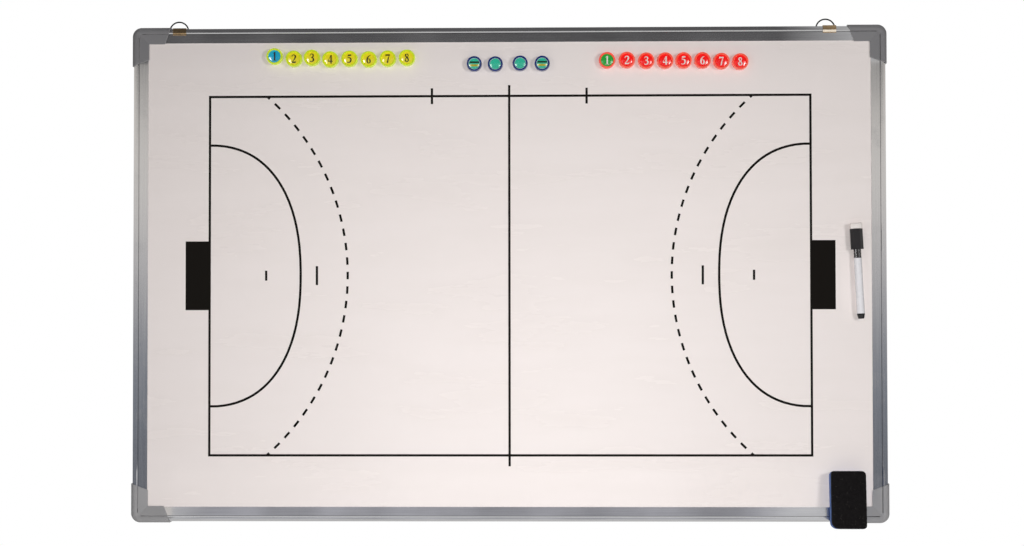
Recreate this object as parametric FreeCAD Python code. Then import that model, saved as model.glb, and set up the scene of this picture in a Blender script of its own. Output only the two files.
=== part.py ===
import FreeCAD, Part
import math
import os

Vector = FreeCAD.Vector

# Millimetres. X runs right along the board, Z up, Y back towards the wall.
# The origin is the middle of the wall plane that the corner caps rest on.

# Frame outline, over the rails
frame_width = 900.0
frame_height = 590.0

# Panel: lacquered steel face, light core and steel back
sheet_thickness = 0.4
core_thickness = 8.2
back_thickness = 0.4
panel_edge_gap = 0.2

# Rail: a hollow extrusion that grips the panel between two lips
rail_width = 17.0
rail_wall = 1.2
chamber_width = 8.0
rear_lip_reach = 15.0
lip_edge = 0.8
bead_width = 6.0
bead_rise = 4.3
bead_drop = 1.3
groove_width = 0.8
groove_depth = 0.8
slope_rise = 3.0

# Corner cap: a moulded sleeve over two rail ends
cap_wall = 1.5
cap_fit = 0.15
cap_radius = 11.0
cap_block = 20.0
cap_leg_outer = 45.0
cap_leg_inner = 37.0
cap_inner_margin = 0.9
cap_tongue = 15.0
cap_tongue_play = 0.2
cap_crease_depth = 0.6
cap_notch_length = 4.6
cap_notch_depth = 1.6
cap_notch_start = 10.2
cap_core_depth = 2.4
cap_core_wall = 2.0

# Corner screws, from the rear into the tongues
screw_diameter = 2.9
screw_head_diameter = 5.6
screw_head_height = 1.7
screw_head_sink = 0.4
screw_length = 10.0
screw_play = 0.1
screw_inset = 8.0
screw_edge = 2.5

# Hanger: a folded strip over the top rail and a D-ring in its knuckle
clip_width = 16.0
clip_gauge = 0.8
clip_clearance = 0.25
clip_reach = 8.2
clip_lip = 1.2
clip_lip_rise = 0.9
left_clip_gap = 2.0
right_clip_gap = 13.3
knuckle_width = 11.0
ring_wire = 1.7
ring_corner_radius = 2.0
ring_leg = 3.9
ring_side_play = 3.8
ring_pin_play = 0.1
left_ring_slip = 3.4
right_ring_slip = 2.8
hinge_drop = 6.65
wall_clearance = 0.25

# Court print: a handball court in black ink, laid out inwards from the lips
ink_thickness = 0.06
line_width = 2.8
court_side_margin = 73.2
court_end_margin = 63.0
court_shift = 1.2
court_drop = 1.7
centre_overshoot = 13.0
tick_length = 19.0
tick_offset = 92.7
goal_depth = 29.0
goal_width = 82.5
area_reach = 109.5
area_half_width = 156.4
area_power = 2.3
area_points_count = 15
throw_reach = 166.0
throw_setback = 69.0
dash_length = 9.0
dash_pitch = 17.4
penalty_reach = 129.0
penalty_length = 22.7
keeper_reach = 68.0
keeper_length = 12.0

# Magnet tokens: cup, ferrite disc, label and clear face
token_diameter = 20.0
blue_token_diameter = 18.6
token_height = 7.6
token_taper = 0.4
token_foot = 0.4
token_rim_width = 2.4
token_rim_round = 0.7
token_recess = 2.2
token_lift = 0.12
token_fit = 0.05
token_magnet_diameter = 14.0
token_magnet_thickness = 3.0
token_label_thickness = 0.3
token_face_edge = 0.5
token_face_dome = 2.0
token_spacing = 2.6
yellow_row_drop = 19.9
yellow_row_start = 121.2
red_row_drop = 23.7
red_row_start = 118.4
official_row_drop = 26.5

# Marker: pen in a magnetic cap with a felt pad
marker_inset = 35.3
marker_height = 28.3
marker_lean_degrees = 3.0
pen_cap_width = 14.8
pen_cap_depth = 13.0
pen_cap_length = 24.2
pen_cap_front_flat = 6.6
pen_cap_back_flat = 9.4
pen_cap_bevel = 4.2
pen_cap_round = 0.6
pen_cap_bore_depth = 16.0
pen_pad_height = 7.0
pen_pad_inset = 0.7
pen_pad_round = 0.9
pen_magnet_diameter = 7.0
pen_magnet_thickness = 2.0
pen_magnet_drop = 4.6
pen_magnet_fit = 0.05
grip_length = 10.4
grip_diameter = 8.8
grip_nose_diameter = 7.4
grip_nose_length = 10.0
grip_plug_length = 9.0
grip_rib_depth = 0.35
grip_rib_width = 1.1
nib_diameter = 4.0
nib_length = 12.0
nib_show = 4.2
barrel_diameter = 9.4
barrel_wall = 1.0
barrel_length = 66.0
end_plug_length = 6.3
end_plug_tip_diameter = 7.2
end_plug_spigot = 6.0
end_plug_collar = 1.4
end_plug_round = 0.8
pen_fit = 0.1
reservoir_diameter = 6.0

# Eraser: foam body with a felt face, leaning on the bottom rail
eraser_width = 42.0
eraser_height = 68.4
eraser_corner = 5.0
eraser_body_thickness = 14.0
eraser_felt_thickness = 6.5
eraser_felt_inset = 0.2
eraser_back_round = 2.0
eraser_felt_round = 1.6
eraser_side_inset = 49.0
eraser_bottom_inset = 25.6
eraser_seat = 0.3
eraser_magnet_diameter = 12.0
eraser_magnet_thickness = 2.0
eraser_magnet_fit = 0.05

# Small shifts of the hand-placed tokens, as shares of a token's diameter
yellow_side_shares = (-0.04, -0.01, -0.05, -0.08, -0.06, -0.035, -0.02, 0.0)
yellow_rise_shares = (0.16, 0.015, 0.065, -0.035, 0.0, -0.04, 0.0, 0.045)
red_side_shares = (0.0, 0.05, 0.08, 0.08, 0.04, 0.04, 0.035, 0.03)
red_rise_shares = (0.035, 0.045, 0.0, 0.0, 0.005, 0.005, -0.045, -0.075)
official_side_shares = (-2.025, -0.765, 0.725, 2.04)
official_rise_shares = (-0.005, -0.02, 0.02, 0.005)
eraser_magnet_place_share = 0.25
grip_rib_place_shares = (0.3, 0.62)

# Depths from the rails' rear face towards the front
panel_thickness = sheet_thickness + core_thickness + back_thickness
panel_rear = rail_wall
panel_front = panel_rear + panel_thickness
bead_crest = panel_front + bead_rise
bead_edge = bead_crest - bead_drop
slope_top = panel_front + slope_rise
slope_start = bead_width + groove_width
lip_front = panel_front + lip_edge
groove_floor = bead_edge - groove_depth
chamber_top = groove_floor - rail_wall
bead_middle = bead_width / 2
bead_radius = (bead_middle ** 2 + bead_drop ** 2) / (2 * bead_drop)
bead_centre = bead_crest - bead_radius
slope_fall = (slope_top - lip_front) / (rail_width - slope_start)

# Hanger stack behind the rail, which sets the gap to the wall
knuckle_bore = ring_wire / 2 + ring_pin_play
knuckle_radius = knuckle_bore + clip_gauge
ring_depth = -clip_clearance - knuckle_radius
ring_radius = knuckle_width / 2 + ring_corner_radius + ring_side_play
wall_gap = clip_clearance + 2 * knuckle_radius + wall_clearance

# Places shared by several pieces
half_width = frame_width / 2
half_height = frame_height / 2
sheet_face = -(wall_gap + panel_front)
token_seat = sheet_face - token_lift
screw_place = cap_block + screw_inset
cap_back_leg = screw_place + screw_head_diameter / 2 + screw_edge
cap_reach = rail_width + cap_inner_margin
cap_centre = cap_radius - cap_wall
court_half_width = half_width - rail_width - court_side_margin
court_half_height = half_height - rail_width - court_end_margin
overrun = frame_width


def top_point(along, inward, forward):
    """Point on the top side: along X, inward from the outer edge, forward from the rails' rear."""
    return Vector(along, -(wall_gap + forward), half_height - inward)


def left_point(along, inward, forward):
    """Point on the left side: along Z, inward from the outer edge, forward from the rails' rear."""
    return Vector(inward - half_width, -(wall_gap + forward), along)


def corner_point(inward_x, inward_z, forward):
    """Point at the top left corner, measured inwards from both outer edges."""
    return Vector(inward_x - half_width, -(wall_gap + forward), half_height - inward_z)


def polygon_face(points):
    return Part.Face(Part.makePolygon(list(points) + [points[0]]))


def line(start, end):
    return Part.LineSegment(start, end).toShape()


def arc(start, middle, end):
    return Part.Arc(start, middle, end).toShape()


def box_between(low, high):
    size = high - low
    return Part.makeBox(size.x, size.y, size.z, low)


def cylinder(radius, height, base, direction):
    return Part.makeCylinder(radius, height, base, direction)


def across_x(shape):
    return shape.mirror(Vector(), Vector(1, 0, 0))


def across_z(shape):
    return shape.mirror(Vector(), Vector(0, 0, 1))


def bead_height(inward, offset):
    """Depth of the bead's round face, or of a face laid off from it by an offset."""
    radius = bead_radius + offset
    return bead_centre + math.sqrt(radius ** 2 - (inward - bead_middle) ** 2)


def slope_height(inward):
    return slope_top - slope_fall * (inward - slope_start)


def front_edges(place, side, offset, inner):
    """Edges of a rail's face laid off by an offset: side wall top, bead and slope."""
    outer = place(-offset, bead_height(-offset, offset))
    crest = place(bead_middle, bead_crest + offset)
    bead_end = place(bead_width, bead_height(bead_width, offset))
    slope_begin = place(slope_start, slope_top + offset)
    slope_end = place(inner, slope_height(inner) + offset)
    return [line(side, outer), arc(outer, crest, bead_end),
            line(bead_end, slope_begin), line(slope_begin, slope_end)]


def filled_section(place, offset, inner, rear):
    """Face of a rail's outline, without its crease, laid off by an offset."""
    side = place(-offset, rear)
    end = place(inner, slope_height(inner) + offset)
    foot = place(inner, rear)
    edges = front_edges(place, side, offset, inner)
    return Part.Face(Part.Wire(edges + [line(end, foot), line(foot, side)]))


def rail(place, start, length, direction):
    """Extrusion with a hollow chamber, a crease beside the bead and two lips for the panel."""
    def at(inward, forward):
        return place(start, inward, forward)
    outline = [
        line(at(0, 0), at(0, bead_edge)),
        arc(at(0, bead_edge), at(bead_middle, bead_crest), at(bead_width, bead_edge)),
    ]
    corners = [
        at(bead_width, bead_edge), at(bead_width, groove_floor), at(slope_start, groove_floor),
        at(slope_start, slope_top), at(rail_width, lip_front), at(rail_width, panel_front),
        at(chamber_width, panel_front), at(chamber_width, panel_rear),
        at(rear_lip_reach, panel_rear), at(rear_lip_reach, 0), at(0, 0),
    ]
    outline += [line(a, b) for a, b in zip(corners, corners[1:])]
    inner = chamber_width - rail_wall
    chamber = polygon_face([at(rail_wall, rail_wall), at(rail_wall, chamber_top),
                            at(inner, chamber_top), at(inner, rail_wall)])
    section = Part.Face(Part.Wire(outline)).cut(chamber)
    solid = section.extrude(direction * length)
    for hole in rail_screw_holes(place, start, length):
        solid = solid.cut(hole)
    return solid.Solids[0]


def rail_screw_holes(place, start, length):
    """Clearance holes for the corner screws through the rail's rear wall."""
    from_end = screw_place - cap_block - cap_fit
    for along in (start + from_end, start + length - from_end):
        base = place(along, chamber_width / 2, 0)
        yield cylinder(screw_diameter / 2 + screw_play, rail_wall, base, Vector(0, -1, 0))


def rails():
    gap = cap_block + cap_fit
    top = rail(top_point, gap - half_width, frame_width - 2 * gap, Vector(1, 0, 0))
    left = rail(left_point, gap - half_height, frame_height - 2 * gap, Vector(0, 0, 1))
    return {"rail_top": top, "rail_bottom": across_z(top),
            "rail_left": left, "rail_right": across_x(left)}


def cap_leg(point, direction):
    """One straight leg of the cap's outer form, from the round corner to its end."""
    def at(inward, forward):
        return point(cap_centre, inward, forward)
    section = filled_section(at, cap_wall, cap_reach, -wall_gap)
    return section.extrude(direction * (cap_leg_outer - cap_centre))


def cap_round_corner():
    """Quarter turn of the cap's section about the centre of its outer radius."""
    def at(inward, forward):
        return corner_point(inward, cap_centre, forward)
    section = filled_section(at, cap_wall, cap_centre, -wall_gap)
    return section.revolve(corner_point(cap_centre, cap_centre, 0), Vector(0, 1, 0), 90)


def cap_sleeve_room(point, direction):
    """Room inside a leg for the rail's end."""
    def at(inward, forward):
        return point(cap_block, inward, forward)
    section = filled_section(at, cap_fit, rail_width + cap_fit, -cap_fit)
    return section.extrude(direction * overrun)


def cap_end_cut(point):
    """Space beyond the slanted end of a leg, full depth."""
    slant = (cap_leg_outer - cap_leg_inner) / (cap_reach + cap_wall)
    outside = -cap_wall - cap_wall
    inside = cap_reach + cap_wall
    face = polygon_face([point(cap_leg_outer + slant * cap_wall, outside, -wall_gap),
                         point(overrun, outside, -wall_gap), point(overrun, inside, -wall_gap),
                         point(cap_leg_inner - slant * cap_wall, inside, -wall_gap)])
    return face.extrude(Vector(0, -overrun, 0))


def cap_crease(point):
    """Crease that carries on the rail's groove, with a deeper notch where it ends at the corner."""
    surface = bead_height(bead_width, cap_wall)
    floor = surface - cap_crease_depth
    crease = polygon_face([point(cap_notch_start, bead_width, floor), point(overrun, bead_width, floor),
                           point(overrun, slope_start, floor), point(cap_notch_start, slope_start, floor)])
    pit = surface - cap_notch_depth
    notch_end = cap_notch_start + cap_notch_length
    notch = polygon_face([point(cap_notch_start, bead_width, pit), point(notch_end, bead_width, pit),
                          point(notch_end, slope_start, pit), point(cap_notch_start, slope_start, pit)])
    rise = Vector(0, -overrun, 0)
    return crease.extrude(rise).fuse(notch.extrude(rise))


def cap_tongue_solid(point, direction):
    """Tongue that plugs the rail's hollow chamber."""
    low = rail_wall + cap_tongue_play
    high = chamber_top - cap_tongue_play
    inner = chamber_width - rail_wall - cap_tongue_play
    root = cap_block - cap_wall
    face = polygon_face([point(root, low, low), point(root, low, high),
                         point(root, inner, high), point(root, inner, low)])
    return face.extrude(direction * (cap_wall + cap_tongue))


def cap_screw_room(point):
    """Stepped hole for a corner screw, from the cap's rear into the tongue."""
    back = point(screw_place, chamber_width / 2, -wall_gap)
    front = Vector(0, -1, 0)
    head = cylinder(screw_head_diameter / 2 + screw_play, screw_head_height + screw_head_sink, back, front)
    depth = screw_head_sink + screw_head_height + screw_length + screw_play
    return head.fuse(cylinder(screw_diameter / 2 + screw_play, depth, back, front))


def corner_cap():
    """Moulded cap of the top left corner."""
    def along_x(along, inward, forward):
        return corner_point(along, inward, forward)
    def along_z(along, inward, forward):
        return corner_point(inward, along, forward)
    legs = ((along_x, Vector(1, 0, 0)), (along_z, Vector(0, 0, -1)))
    body = cap_round_corner()
    for point, direction in legs:
        body = body.fuse(cap_leg(point, direction))
    for point, direction in legs:
        body = body.cut(cap_sleeve_room(point, direction))
    panel_slot = polygon_face([corner_point(chamber_width, chamber_width, panel_rear),
                               corner_point(overrun, chamber_width, panel_rear),
                               corner_point(overrun, overrun, panel_rear),
                               corner_point(chamber_width, overrun, panel_rear)])
    body = body.cut(panel_slot.extrude(Vector(0, -panel_thickness, 0)))
    for point, direction in legs:
        body = body.fuse(cap_tongue_solid(point, direction))
    for point, direction in legs:
        body = body.cut(cap_end_cut(point))
        body = body.cut(cap_rear_cut(point))
        body = body.cut(cap_lip_cut(point))
        body = body.cut(cap_crease(point))
        body = body.cut(cap_screw_room(point))
    body = body.cut(cap_coring())
    return body.removeSplitter().Solids[0]


def cap_rear_cut(point):
    """Space behind the rail past the cap's rear plate, free for the hanger."""
    outside = -cap_wall - cap_wall
    inside = cap_reach + cap_wall
    face = polygon_face([point(cap_back_leg, outside, 0), point(overrun, outside, 0),
                         point(overrun, inside, 0), point(cap_back_leg, inside, 0)])
    return face.extrude(Vector(0, overrun, 0))


def cap_lip_cut(point):
    """Space between the cap's rear plate and the panel, past the rail's rear lip."""
    inside = cap_reach + cap_wall
    face = polygon_face([point(cap_block, rail_width, -cap_fit), point(overrun, rail_width, -cap_fit),
                         point(overrun, inside, -cap_fit), point(cap_block, inside, -cap_fit)])
    return face.extrude(Vector(0, -cap_fit - panel_rear, 0))


def cap_coring():
    """Square pocket that lightens the solid corner from the rear."""
    low = corner_point(cap_core_wall, cap_block - cap_core_wall, cap_core_depth - wall_gap)
    high = corner_point(cap_block - cap_core_wall, cap_core_wall, -wall_gap)
    return box_between(low, high)


def corner_caps():
    top_left = corner_cap()
    bottom_left = across_z(top_left)
    return {"corner_cap_top_left": top_left, "corner_cap_top_right": across_x(top_left),
            "corner_cap_bottom_left": bottom_left, "corner_cap_bottom_right": across_x(bottom_left)}


def corner_screw(seat):
    """Pan-head screw with a cross recess, its head's rear face at the seat."""
    front = Vector(0, -1, 0)
    head = cylinder(screw_head_diameter / 2, screw_head_height, seat, front)
    shank = cylinder(screw_diameter / 2, screw_head_height + screw_length, seat, front)
    slot_half = screw_diameter / 2
    slot_thin = slot_half / 3
    depth = screw_head_height / 2
    across = box_between(seat + Vector(-slot_half, -depth, -slot_thin), seat + Vector(slot_half, 0, slot_thin))
    upright = box_between(seat + Vector(-slot_thin, -depth, -slot_half), seat + Vector(slot_thin, 0, slot_half))
    return head.fuse(shank).cut(across).cut(upright).removeSplitter().Solids[0]


def corner_screws():
    """Two screws for each corner, as one group."""
    sink = screw_head_sink - wall_gap
    middle = chamber_width / 2
    first = corner_screw(corner_point(screw_place, middle, sink))
    second = corner_screw(corner_point(middle, screw_place, sink))
    left = [first, second, across_z(first), across_z(second)]
    return Part.makeCompound(left + [across_x(screw) for screw in left])


def panel_layers():
    """Face sheet, core and back sheet, with their edges in the rails."""
    inset = chamber_width + panel_edge_gap
    layers = {}
    depth = panel_rear
    for name, thickness in (("back_sheet", back_thickness), ("core_panel", core_thickness),
                            ("writing_sheet", sheet_thickness)):
        low = Vector(inset - half_width, -(wall_gap + depth + thickness), inset - half_height)
        high = Vector(half_width - inset, -(wall_gap + depth), half_height - inset)
        layers[name] = box_between(low, high)
        depth += thickness
    return layers


def print_bar(x_low, x_high, z_low, z_high):
    """Rectangular patch of ink on the face."""
    return box_between(Vector(x_low, sheet_face - ink_thickness, z_low), Vector(x_high, sheet_face, z_high))


def print_upright(x, z_low, z_high):
    return print_bar(x - line_width / 2, x + line_width / 2, z_low, z_high)


def print_level(z, x_low, x_high):
    return print_bar(x_low, x_high, z - line_width / 2, z + line_width / 2)


def area_curve(offset):
    """Spline of the goal area line on the left, laid off from its middle by an offset."""
    points = []
    for step in range(area_points_count):
        turn = math.pi * (step / (area_points_count - 1) - 1 / 2)
        reach = area_reach * math.cos(turn) ** (2 / area_power)
        across = area_half_width * math.copysign(abs(math.sin(turn)) ** (2 / area_power), turn)
        normal_x = math.cos(turn) ** (2 - 2 / area_power) / area_reach
        normal_z = math.copysign(abs(math.sin(turn)) ** (2 - 2 / area_power), turn) / area_half_width
        length = math.hypot(normal_x, normal_z)
        points.append(Vector(reach - court_half_width + offset * normal_x / length, sheet_face,
                             across + offset * normal_z / length))
    curve = Part.BSplineCurve()
    curve.interpolate(points)
    return curve.toShape(), points[0], points[-1]


def area_line():
    """Goal area line: a flattened half oval from the goal line."""
    outer, outer_start, outer_end = area_curve(line_width / 2)
    inner, inner_start, inner_end = area_curve(-line_width / 2)
    edges = [outer, line(outer_end, inner_end), inner, line(inner_start, outer_start)]
    ribbon = Part.Face(Part.Wire(Part.sortEdges(edges)[0]))
    return ribbon.extrude(Vector(0, -ink_thickness, 0))


def throw_dashes():
    """Free-throw line on the left: dashes along one arc, the last ones cut by the side lines."""
    sagitta = throw_reach - throw_setback
    radius = (court_half_height ** 2 + sagitta ** 2) / (2 * sagitta)
    centre = Vector(throw_reach - radius - court_half_width, sheet_face, 0)
    half_turn = dash_length / radius / 2
    half_arc = radius * math.asin(court_half_height / radius)
    dash_count = int((half_arc + dash_length / 2) / dash_pitch)
    field = print_bar(-court_half_width, court_half_width, -court_half_height, court_half_height)
    for step in range(-dash_count, dash_count + 1):
        turn = step * dash_pitch / radius
        dash = dash_sector(centre, radius, turn - half_turn, turn + half_turn)
        yield from dash.common(field).Solids


def dash_sector(centre, radius, start, end):
    """One dash of an arc: a ring sector as wide as a line."""
    def at(distance, turn):
        return centre + Vector(distance * math.cos(turn), 0, distance * math.sin(turn))
    inner = radius - line_width / 2
    outer = radius + line_width / 2
    middle = (start + end) / 2
    edges = [line(at(inner, start), at(outer, start)),
             arc(at(outer, start), at(outer, middle), at(outer, end)),
             line(at(outer, end), at(inner, end)),
             arc(at(inner, end), at(inner, middle), at(inner, start))]
    return Part.Face(Part.Wire(edges)).extrude(Vector(0, -ink_thickness, 0))


def half_court():
    """Marks of the left half: goal, goal area, free-throw dashes, penalty and keeper lines."""
    goal_line = -court_half_width
    goal = print_bar(goal_line - goal_depth, goal_line, -goal_width / 2, goal_width / 2)
    penalty = print_upright(goal_line + penalty_reach, -penalty_length / 2, penalty_length / 2)
    keeper = print_upright(goal_line + keeper_reach, -keeper_length / 2, keeper_length / 2)
    return [goal, area_line(), penalty, keeper] + list(throw_dashes())


def court_print():
    """All ink marks, with lines that cross joined into one patch."""
    half_line = line_width / 2
    edge_x = court_half_width + half_line
    marks = [print_upright(-court_half_width, -court_half_height, court_half_height),
             print_upright(court_half_width, -court_half_height, court_half_height),
             print_level(court_half_height, -edge_x, edge_x),
             print_level(-court_half_height, -edge_x, edge_x)]
    reach = court_half_height + centre_overshoot
    marks.append(print_upright(0, -reach, reach))
    for x in (-tick_offset, tick_offset):
        marks.append(print_upright(x, court_half_height - tick_length / 2, court_half_height + tick_length / 2))
    left = half_court()
    marks += left + [across_x(mark) for mark in left]
    joined = marks[0].fuse(marks[1:]).removeSplitter()
    joined.translate(Vector(court_shift, 0, -court_drop))
    return Part.makeCompound(joined.Solids)


def hanger_clip(middle):
    """Folded strip from the lip on the front, over the bead, to a rolled knuckle behind the rail."""
    start = middle - clip_width / 2
    def at(inward, forward):
        return top_point(start, inward, forward)
    inside = clip_clearance
    outside = clip_clearance + clip_gauge
    lip_start = clip_reach - clip_lip
    lip_low = slope_height(lip_start) + inside
    slant = math.hypot(clip_lip, clip_lip_rise)
    lip_side = clip_gauge * clip_lip_rise / slant
    lip_up = clip_gauge * clip_lip / slant
    bend = clip_gauge * math.sqrt(1 / 2)
    tail = at(hinge_drop, -inside)
    tail_back = at(hinge_drop, -outside)
    front_inner = at(bead_width, bead_height(bead_width, inside))
    front_outer = at(bead_width, bead_height(bead_width, outside))
    lip_root = at(lip_start, lip_low)
    lip_root_out = at(lip_start - lip_side / 2, lip_low + clip_gauge)
    lip_tip = at(clip_reach, lip_low + clip_lip_rise)
    lip_tip_out = at(clip_reach - lip_side, lip_low + clip_lip_rise + lip_up)
    top_inner = at(-inside, bead_height(-inside, inside))
    top_outer = at(-outside, bead_height(-outside, outside))
    strip = [
        line(tail, at(-inside, -inside)), line(at(-inside, -inside), top_inner),
        arc(top_inner, at(bead_middle, bead_crest + inside), front_inner),
        line(front_inner, lip_root), line(lip_root, lip_tip), line(lip_tip, lip_tip_out),
        line(lip_tip_out, lip_root_out), line(lip_root_out, front_outer),
        arc(front_outer, at(bead_middle, bead_crest + outside), top_outer),
        line(top_outer, at(-outside, -inside)),
        arc(at(-outside, -inside), at(-inside - bend, -inside - bend), at(-inside, -outside)),
        line(at(-inside, -outside), tail_back), line(tail_back, tail),
    ]
    width = Vector(clip_width, 0, 0)
    folded = Part.Face(Part.Wire(strip)).extrude(width)
    return folded.fuse(clip_knuckle(at)).removeSplitter().Solids[0]


def clip_knuckle(at):
    """Rolled tab of the strip round the ring's bar, open beside the strip where the roll ends."""
    along = Vector(1, 0, 0)
    start = along * (clip_width - knuckle_width) / 2
    axis = at(hinge_drop, ring_depth) + start
    roll = cylinder(knuckle_radius, knuckle_width, axis, along)
    roll = roll.cut(cylinder(knuckle_bore, knuckle_width, axis, along))
    mouth_low = at(hinge_drop, -clip_clearance - clip_gauge) + start
    mouth_high = at(hinge_drop - knuckle_radius, ring_depth) + start + along * knuckle_width
    return roll.cut(box_between(mouth_low, mouth_high))


def hanger_ring(middle):
    """Wire D-ring: a bar in the knuckle, round corners, short legs and a half circle above the rail."""
    def at(across, rise):
        return top_point(middle + across, hinge_drop - rise, ring_depth)
    corner = ring_corner_radius
    bend = corner * (1 - math.sqrt(1 / 2))
    side = ring_radius - corner
    shoulder = corner + ring_leg
    path = [
        line(at(-side, 0), at(side, 0)),
        arc(at(side, 0), at(ring_radius - bend, bend), at(ring_radius, corner)),
        line(at(ring_radius, corner), at(ring_radius, shoulder)),
        arc(at(ring_radius, shoulder), at(0, shoulder + ring_radius), at(-ring_radius, shoulder)),
        line(at(-ring_radius, shoulder), at(-ring_radius, corner)),
        arc(at(-ring_radius, corner), at(bend - ring_radius, bend), at(-side, 0)),
    ]
    section = Part.Wire(Part.makeCircle(ring_wire / 2, at(-side, 0), Vector(1, 0, 0)))
    return Part.Wire(path).makePipeShell([section], True, False)


def hangers():
    clip_half = clip_width / 2
    left = cap_leg_outer + left_clip_gap + clip_half - half_width
    right = half_width - cap_leg_outer - right_clip_gap - clip_half
    return {"hanger_clip_left": hanger_clip(left), "hanger_ring_left": hanger_ring(left - left_ring_slip),
            "hanger_clip_right": hanger_clip(right), "hanger_ring_right": hanger_ring(right - right_ring_slip)}


def turned(edges):
    """Solid of revolution about the upright axis from edges in the plane of X and Z."""
    return Part.Face(Part.Wire(edges)).revolve(Vector(), Vector(0, 0, 1), 360)


def chain(points):
    return [line(a, b) for a, b in zip(points, points[1:])]


def token_parts(diameter):
    """Cup, ferrite disc, label and clear face of one token, standing on its foot at the origin."""
    base = diameter / 2
    top = base - token_taper
    label = base - token_rim_width
    pocket = token_magnet_diameter / 2 + token_fit
    pocket_top = token_magnet_thickness + token_fit
    floor = token_height - token_recess
    round_off = token_rim_round
    bend = round_off * (1 - math.sqrt(1 / 2))
    shoulder = Vector(top, 0, token_height - round_off)
    crown = Vector(top - round_off, 0, token_height)
    lead = Vector(label + round_off, 0, token_height)
    ledge = Vector(label, 0, token_height - round_off)
    edges = chain([Vector(pocket, 0, 0), Vector(base - token_foot, 0, 0), Vector(base, 0, token_foot), shoulder])
    edges.append(arc(shoulder, Vector(top - bend, 0, token_height - bend), crown))
    edges.append(line(crown, lead))
    edges.append(arc(lead, Vector(label + bend, 0, token_height - bend), ledge))
    edges += chain([ledge, Vector(label, 0, floor), Vector(0, 0, floor), Vector(0, 0, pocket_top),
                    Vector(pocket, 0, pocket_top), Vector(pocket, 0, 0)])
    cup = turned(edges)
    magnet = Part.makeCylinder(token_magnet_diameter / 2, token_magnet_thickness)
    disc = label - token_fit
    sticker = Part.makeCylinder(disc, token_label_thickness, Vector(0, 0, floor))
    return [cup, magnet, sticker, token_face(disc, floor + token_label_thickness)]


def token_face(radius, base):
    """Clear face over the label, domed above the cup's rim."""
    edge = base + token_face_edge
    crown = edge + token_face_dome
    dome_radius = (radius ** 2 + token_face_dome ** 2) / (2 * token_face_dome)
    half_turn = math.asin(radius / dome_radius) / 2
    middle = Vector(dome_radius * math.sin(half_turn), 0, crown - dome_radius * (1 - math.cos(half_turn)))
    edges = chain([Vector(0, 0, crown), Vector(0, 0, base), Vector(radius, 0, base), Vector(radius, 0, edge)])
    edges.append(arc(Vector(radius, 0, edge), middle, Vector(0, 0, crown)))
    return turned(edges)


def token_places():
    """Name and place of each token on the face."""
    pitch = token_diameter + token_spacing
    edge = half_height - rail_width
    yellow_row = edge - yellow_row_drop
    red_row = edge - red_row_drop
    official_row = edge - official_row_drop
    places = {}
    numbers = len(yellow_side_shares)
    for step, (side, rise) in enumerate(zip(yellow_side_shares, yellow_rise_shares)):
        x = -yellow_row_start - (numbers - 1 - step) * pitch + side * token_diameter
        places[f"token_yellow_{step + 1}"] = (x, yellow_row + rise * token_diameter)
    for step, (side, rise) in enumerate(zip(red_side_shares, red_rise_shares)):
        x = red_row_start + step * pitch + side * token_diameter
        places[f"token_red_{step + 1}"] = (x, red_row + rise * token_diameter)
    for step, (side, rise) in enumerate(zip(official_side_shares, official_rise_shares)):
        places[f"token_blue_{step + 1}"] = (side * token_diameter, official_row + rise * token_diameter)
    return places


def standing_token(diameter):
    """One token turned to face the front."""
    token = Part.makeCompound(token_parts(diameter))
    token.rotate(Vector(), Vector(1, 0, 0), 90)
    return token


def tokens():
    numbered = standing_token(token_diameter)
    official = standing_token(blue_token_diameter)
    nodes = {}
    for name, (x, z) in token_places().items():
        token = official.copy() if "blue" in name else numbered.copy()
        token.translate(Vector(x, token_seat, z))
        nodes[name] = token
    return nodes


def pen_cap_outline(inset, height):
    """Eight-sided outline of the pen cap, drawn in from its sides by an inset."""
    side = pen_cap_width / 2 - inset
    front = pen_cap_front_flat / 2
    back = pen_cap_back_flat / 2
    half_depth = pen_cap_depth / 2 - inset
    bevel = pen_cap_depth / 2 - pen_cap_bevel
    return polygon_face([Vector(-front, -half_depth, height), Vector(front, -half_depth, height),
                         Vector(side, -bevel, height), Vector(side, bevel, height),
                         Vector(back, half_depth, height), Vector(-back, half_depth, height),
                         Vector(-side, bevel, height), Vector(-side, -bevel, height)])


def pen_cap():
    """Faceted cap, its mouth at the origin, with a bore for the grip's nose and a magnet pocket."""
    body = pen_cap_outline(0, 0).extrude(Vector(0, 0, pen_cap_length))
    uprights = [edge for edge in body.Edges if edge.Vertexes[0].Z != edge.Vertexes[1].Z]
    body = body.makeFillet(pen_cap_round, uprights)
    body = body.cut(Part.makeCylinder(grip_nose_diameter / 2 + pen_fit, pen_cap_bore_depth))
    pocket = pen_magnet_solid(pen_magnet_fit)
    return body.cut(pocket).Solids[0]


def pen_magnet_solid(play):
    """Disc in the back of the pen cap, with play for its pocket."""
    height = pen_cap_length - pen_magnet_drop
    back = Vector(0, pen_cap_depth / 2, height)
    return cylinder(pen_magnet_diameter / 2 + play, pen_magnet_thickness + play, back, Vector(0, -1, 0))


def pen_pad():
    """Felt pad on the end of the cap, with softened upper edges."""
    pad = pen_cap_outline(pen_pad_inset, pen_cap_length).extrude(Vector(0, 0, pen_pad_height))
    top = pen_cap_length + pen_pad_height
    rim = [edge for edge in pad.Edges if min(v.Z for v in edge.Vertexes) > top - pen_pad_round]
    return pad.makeFillet(pen_pad_round, rim)


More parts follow.
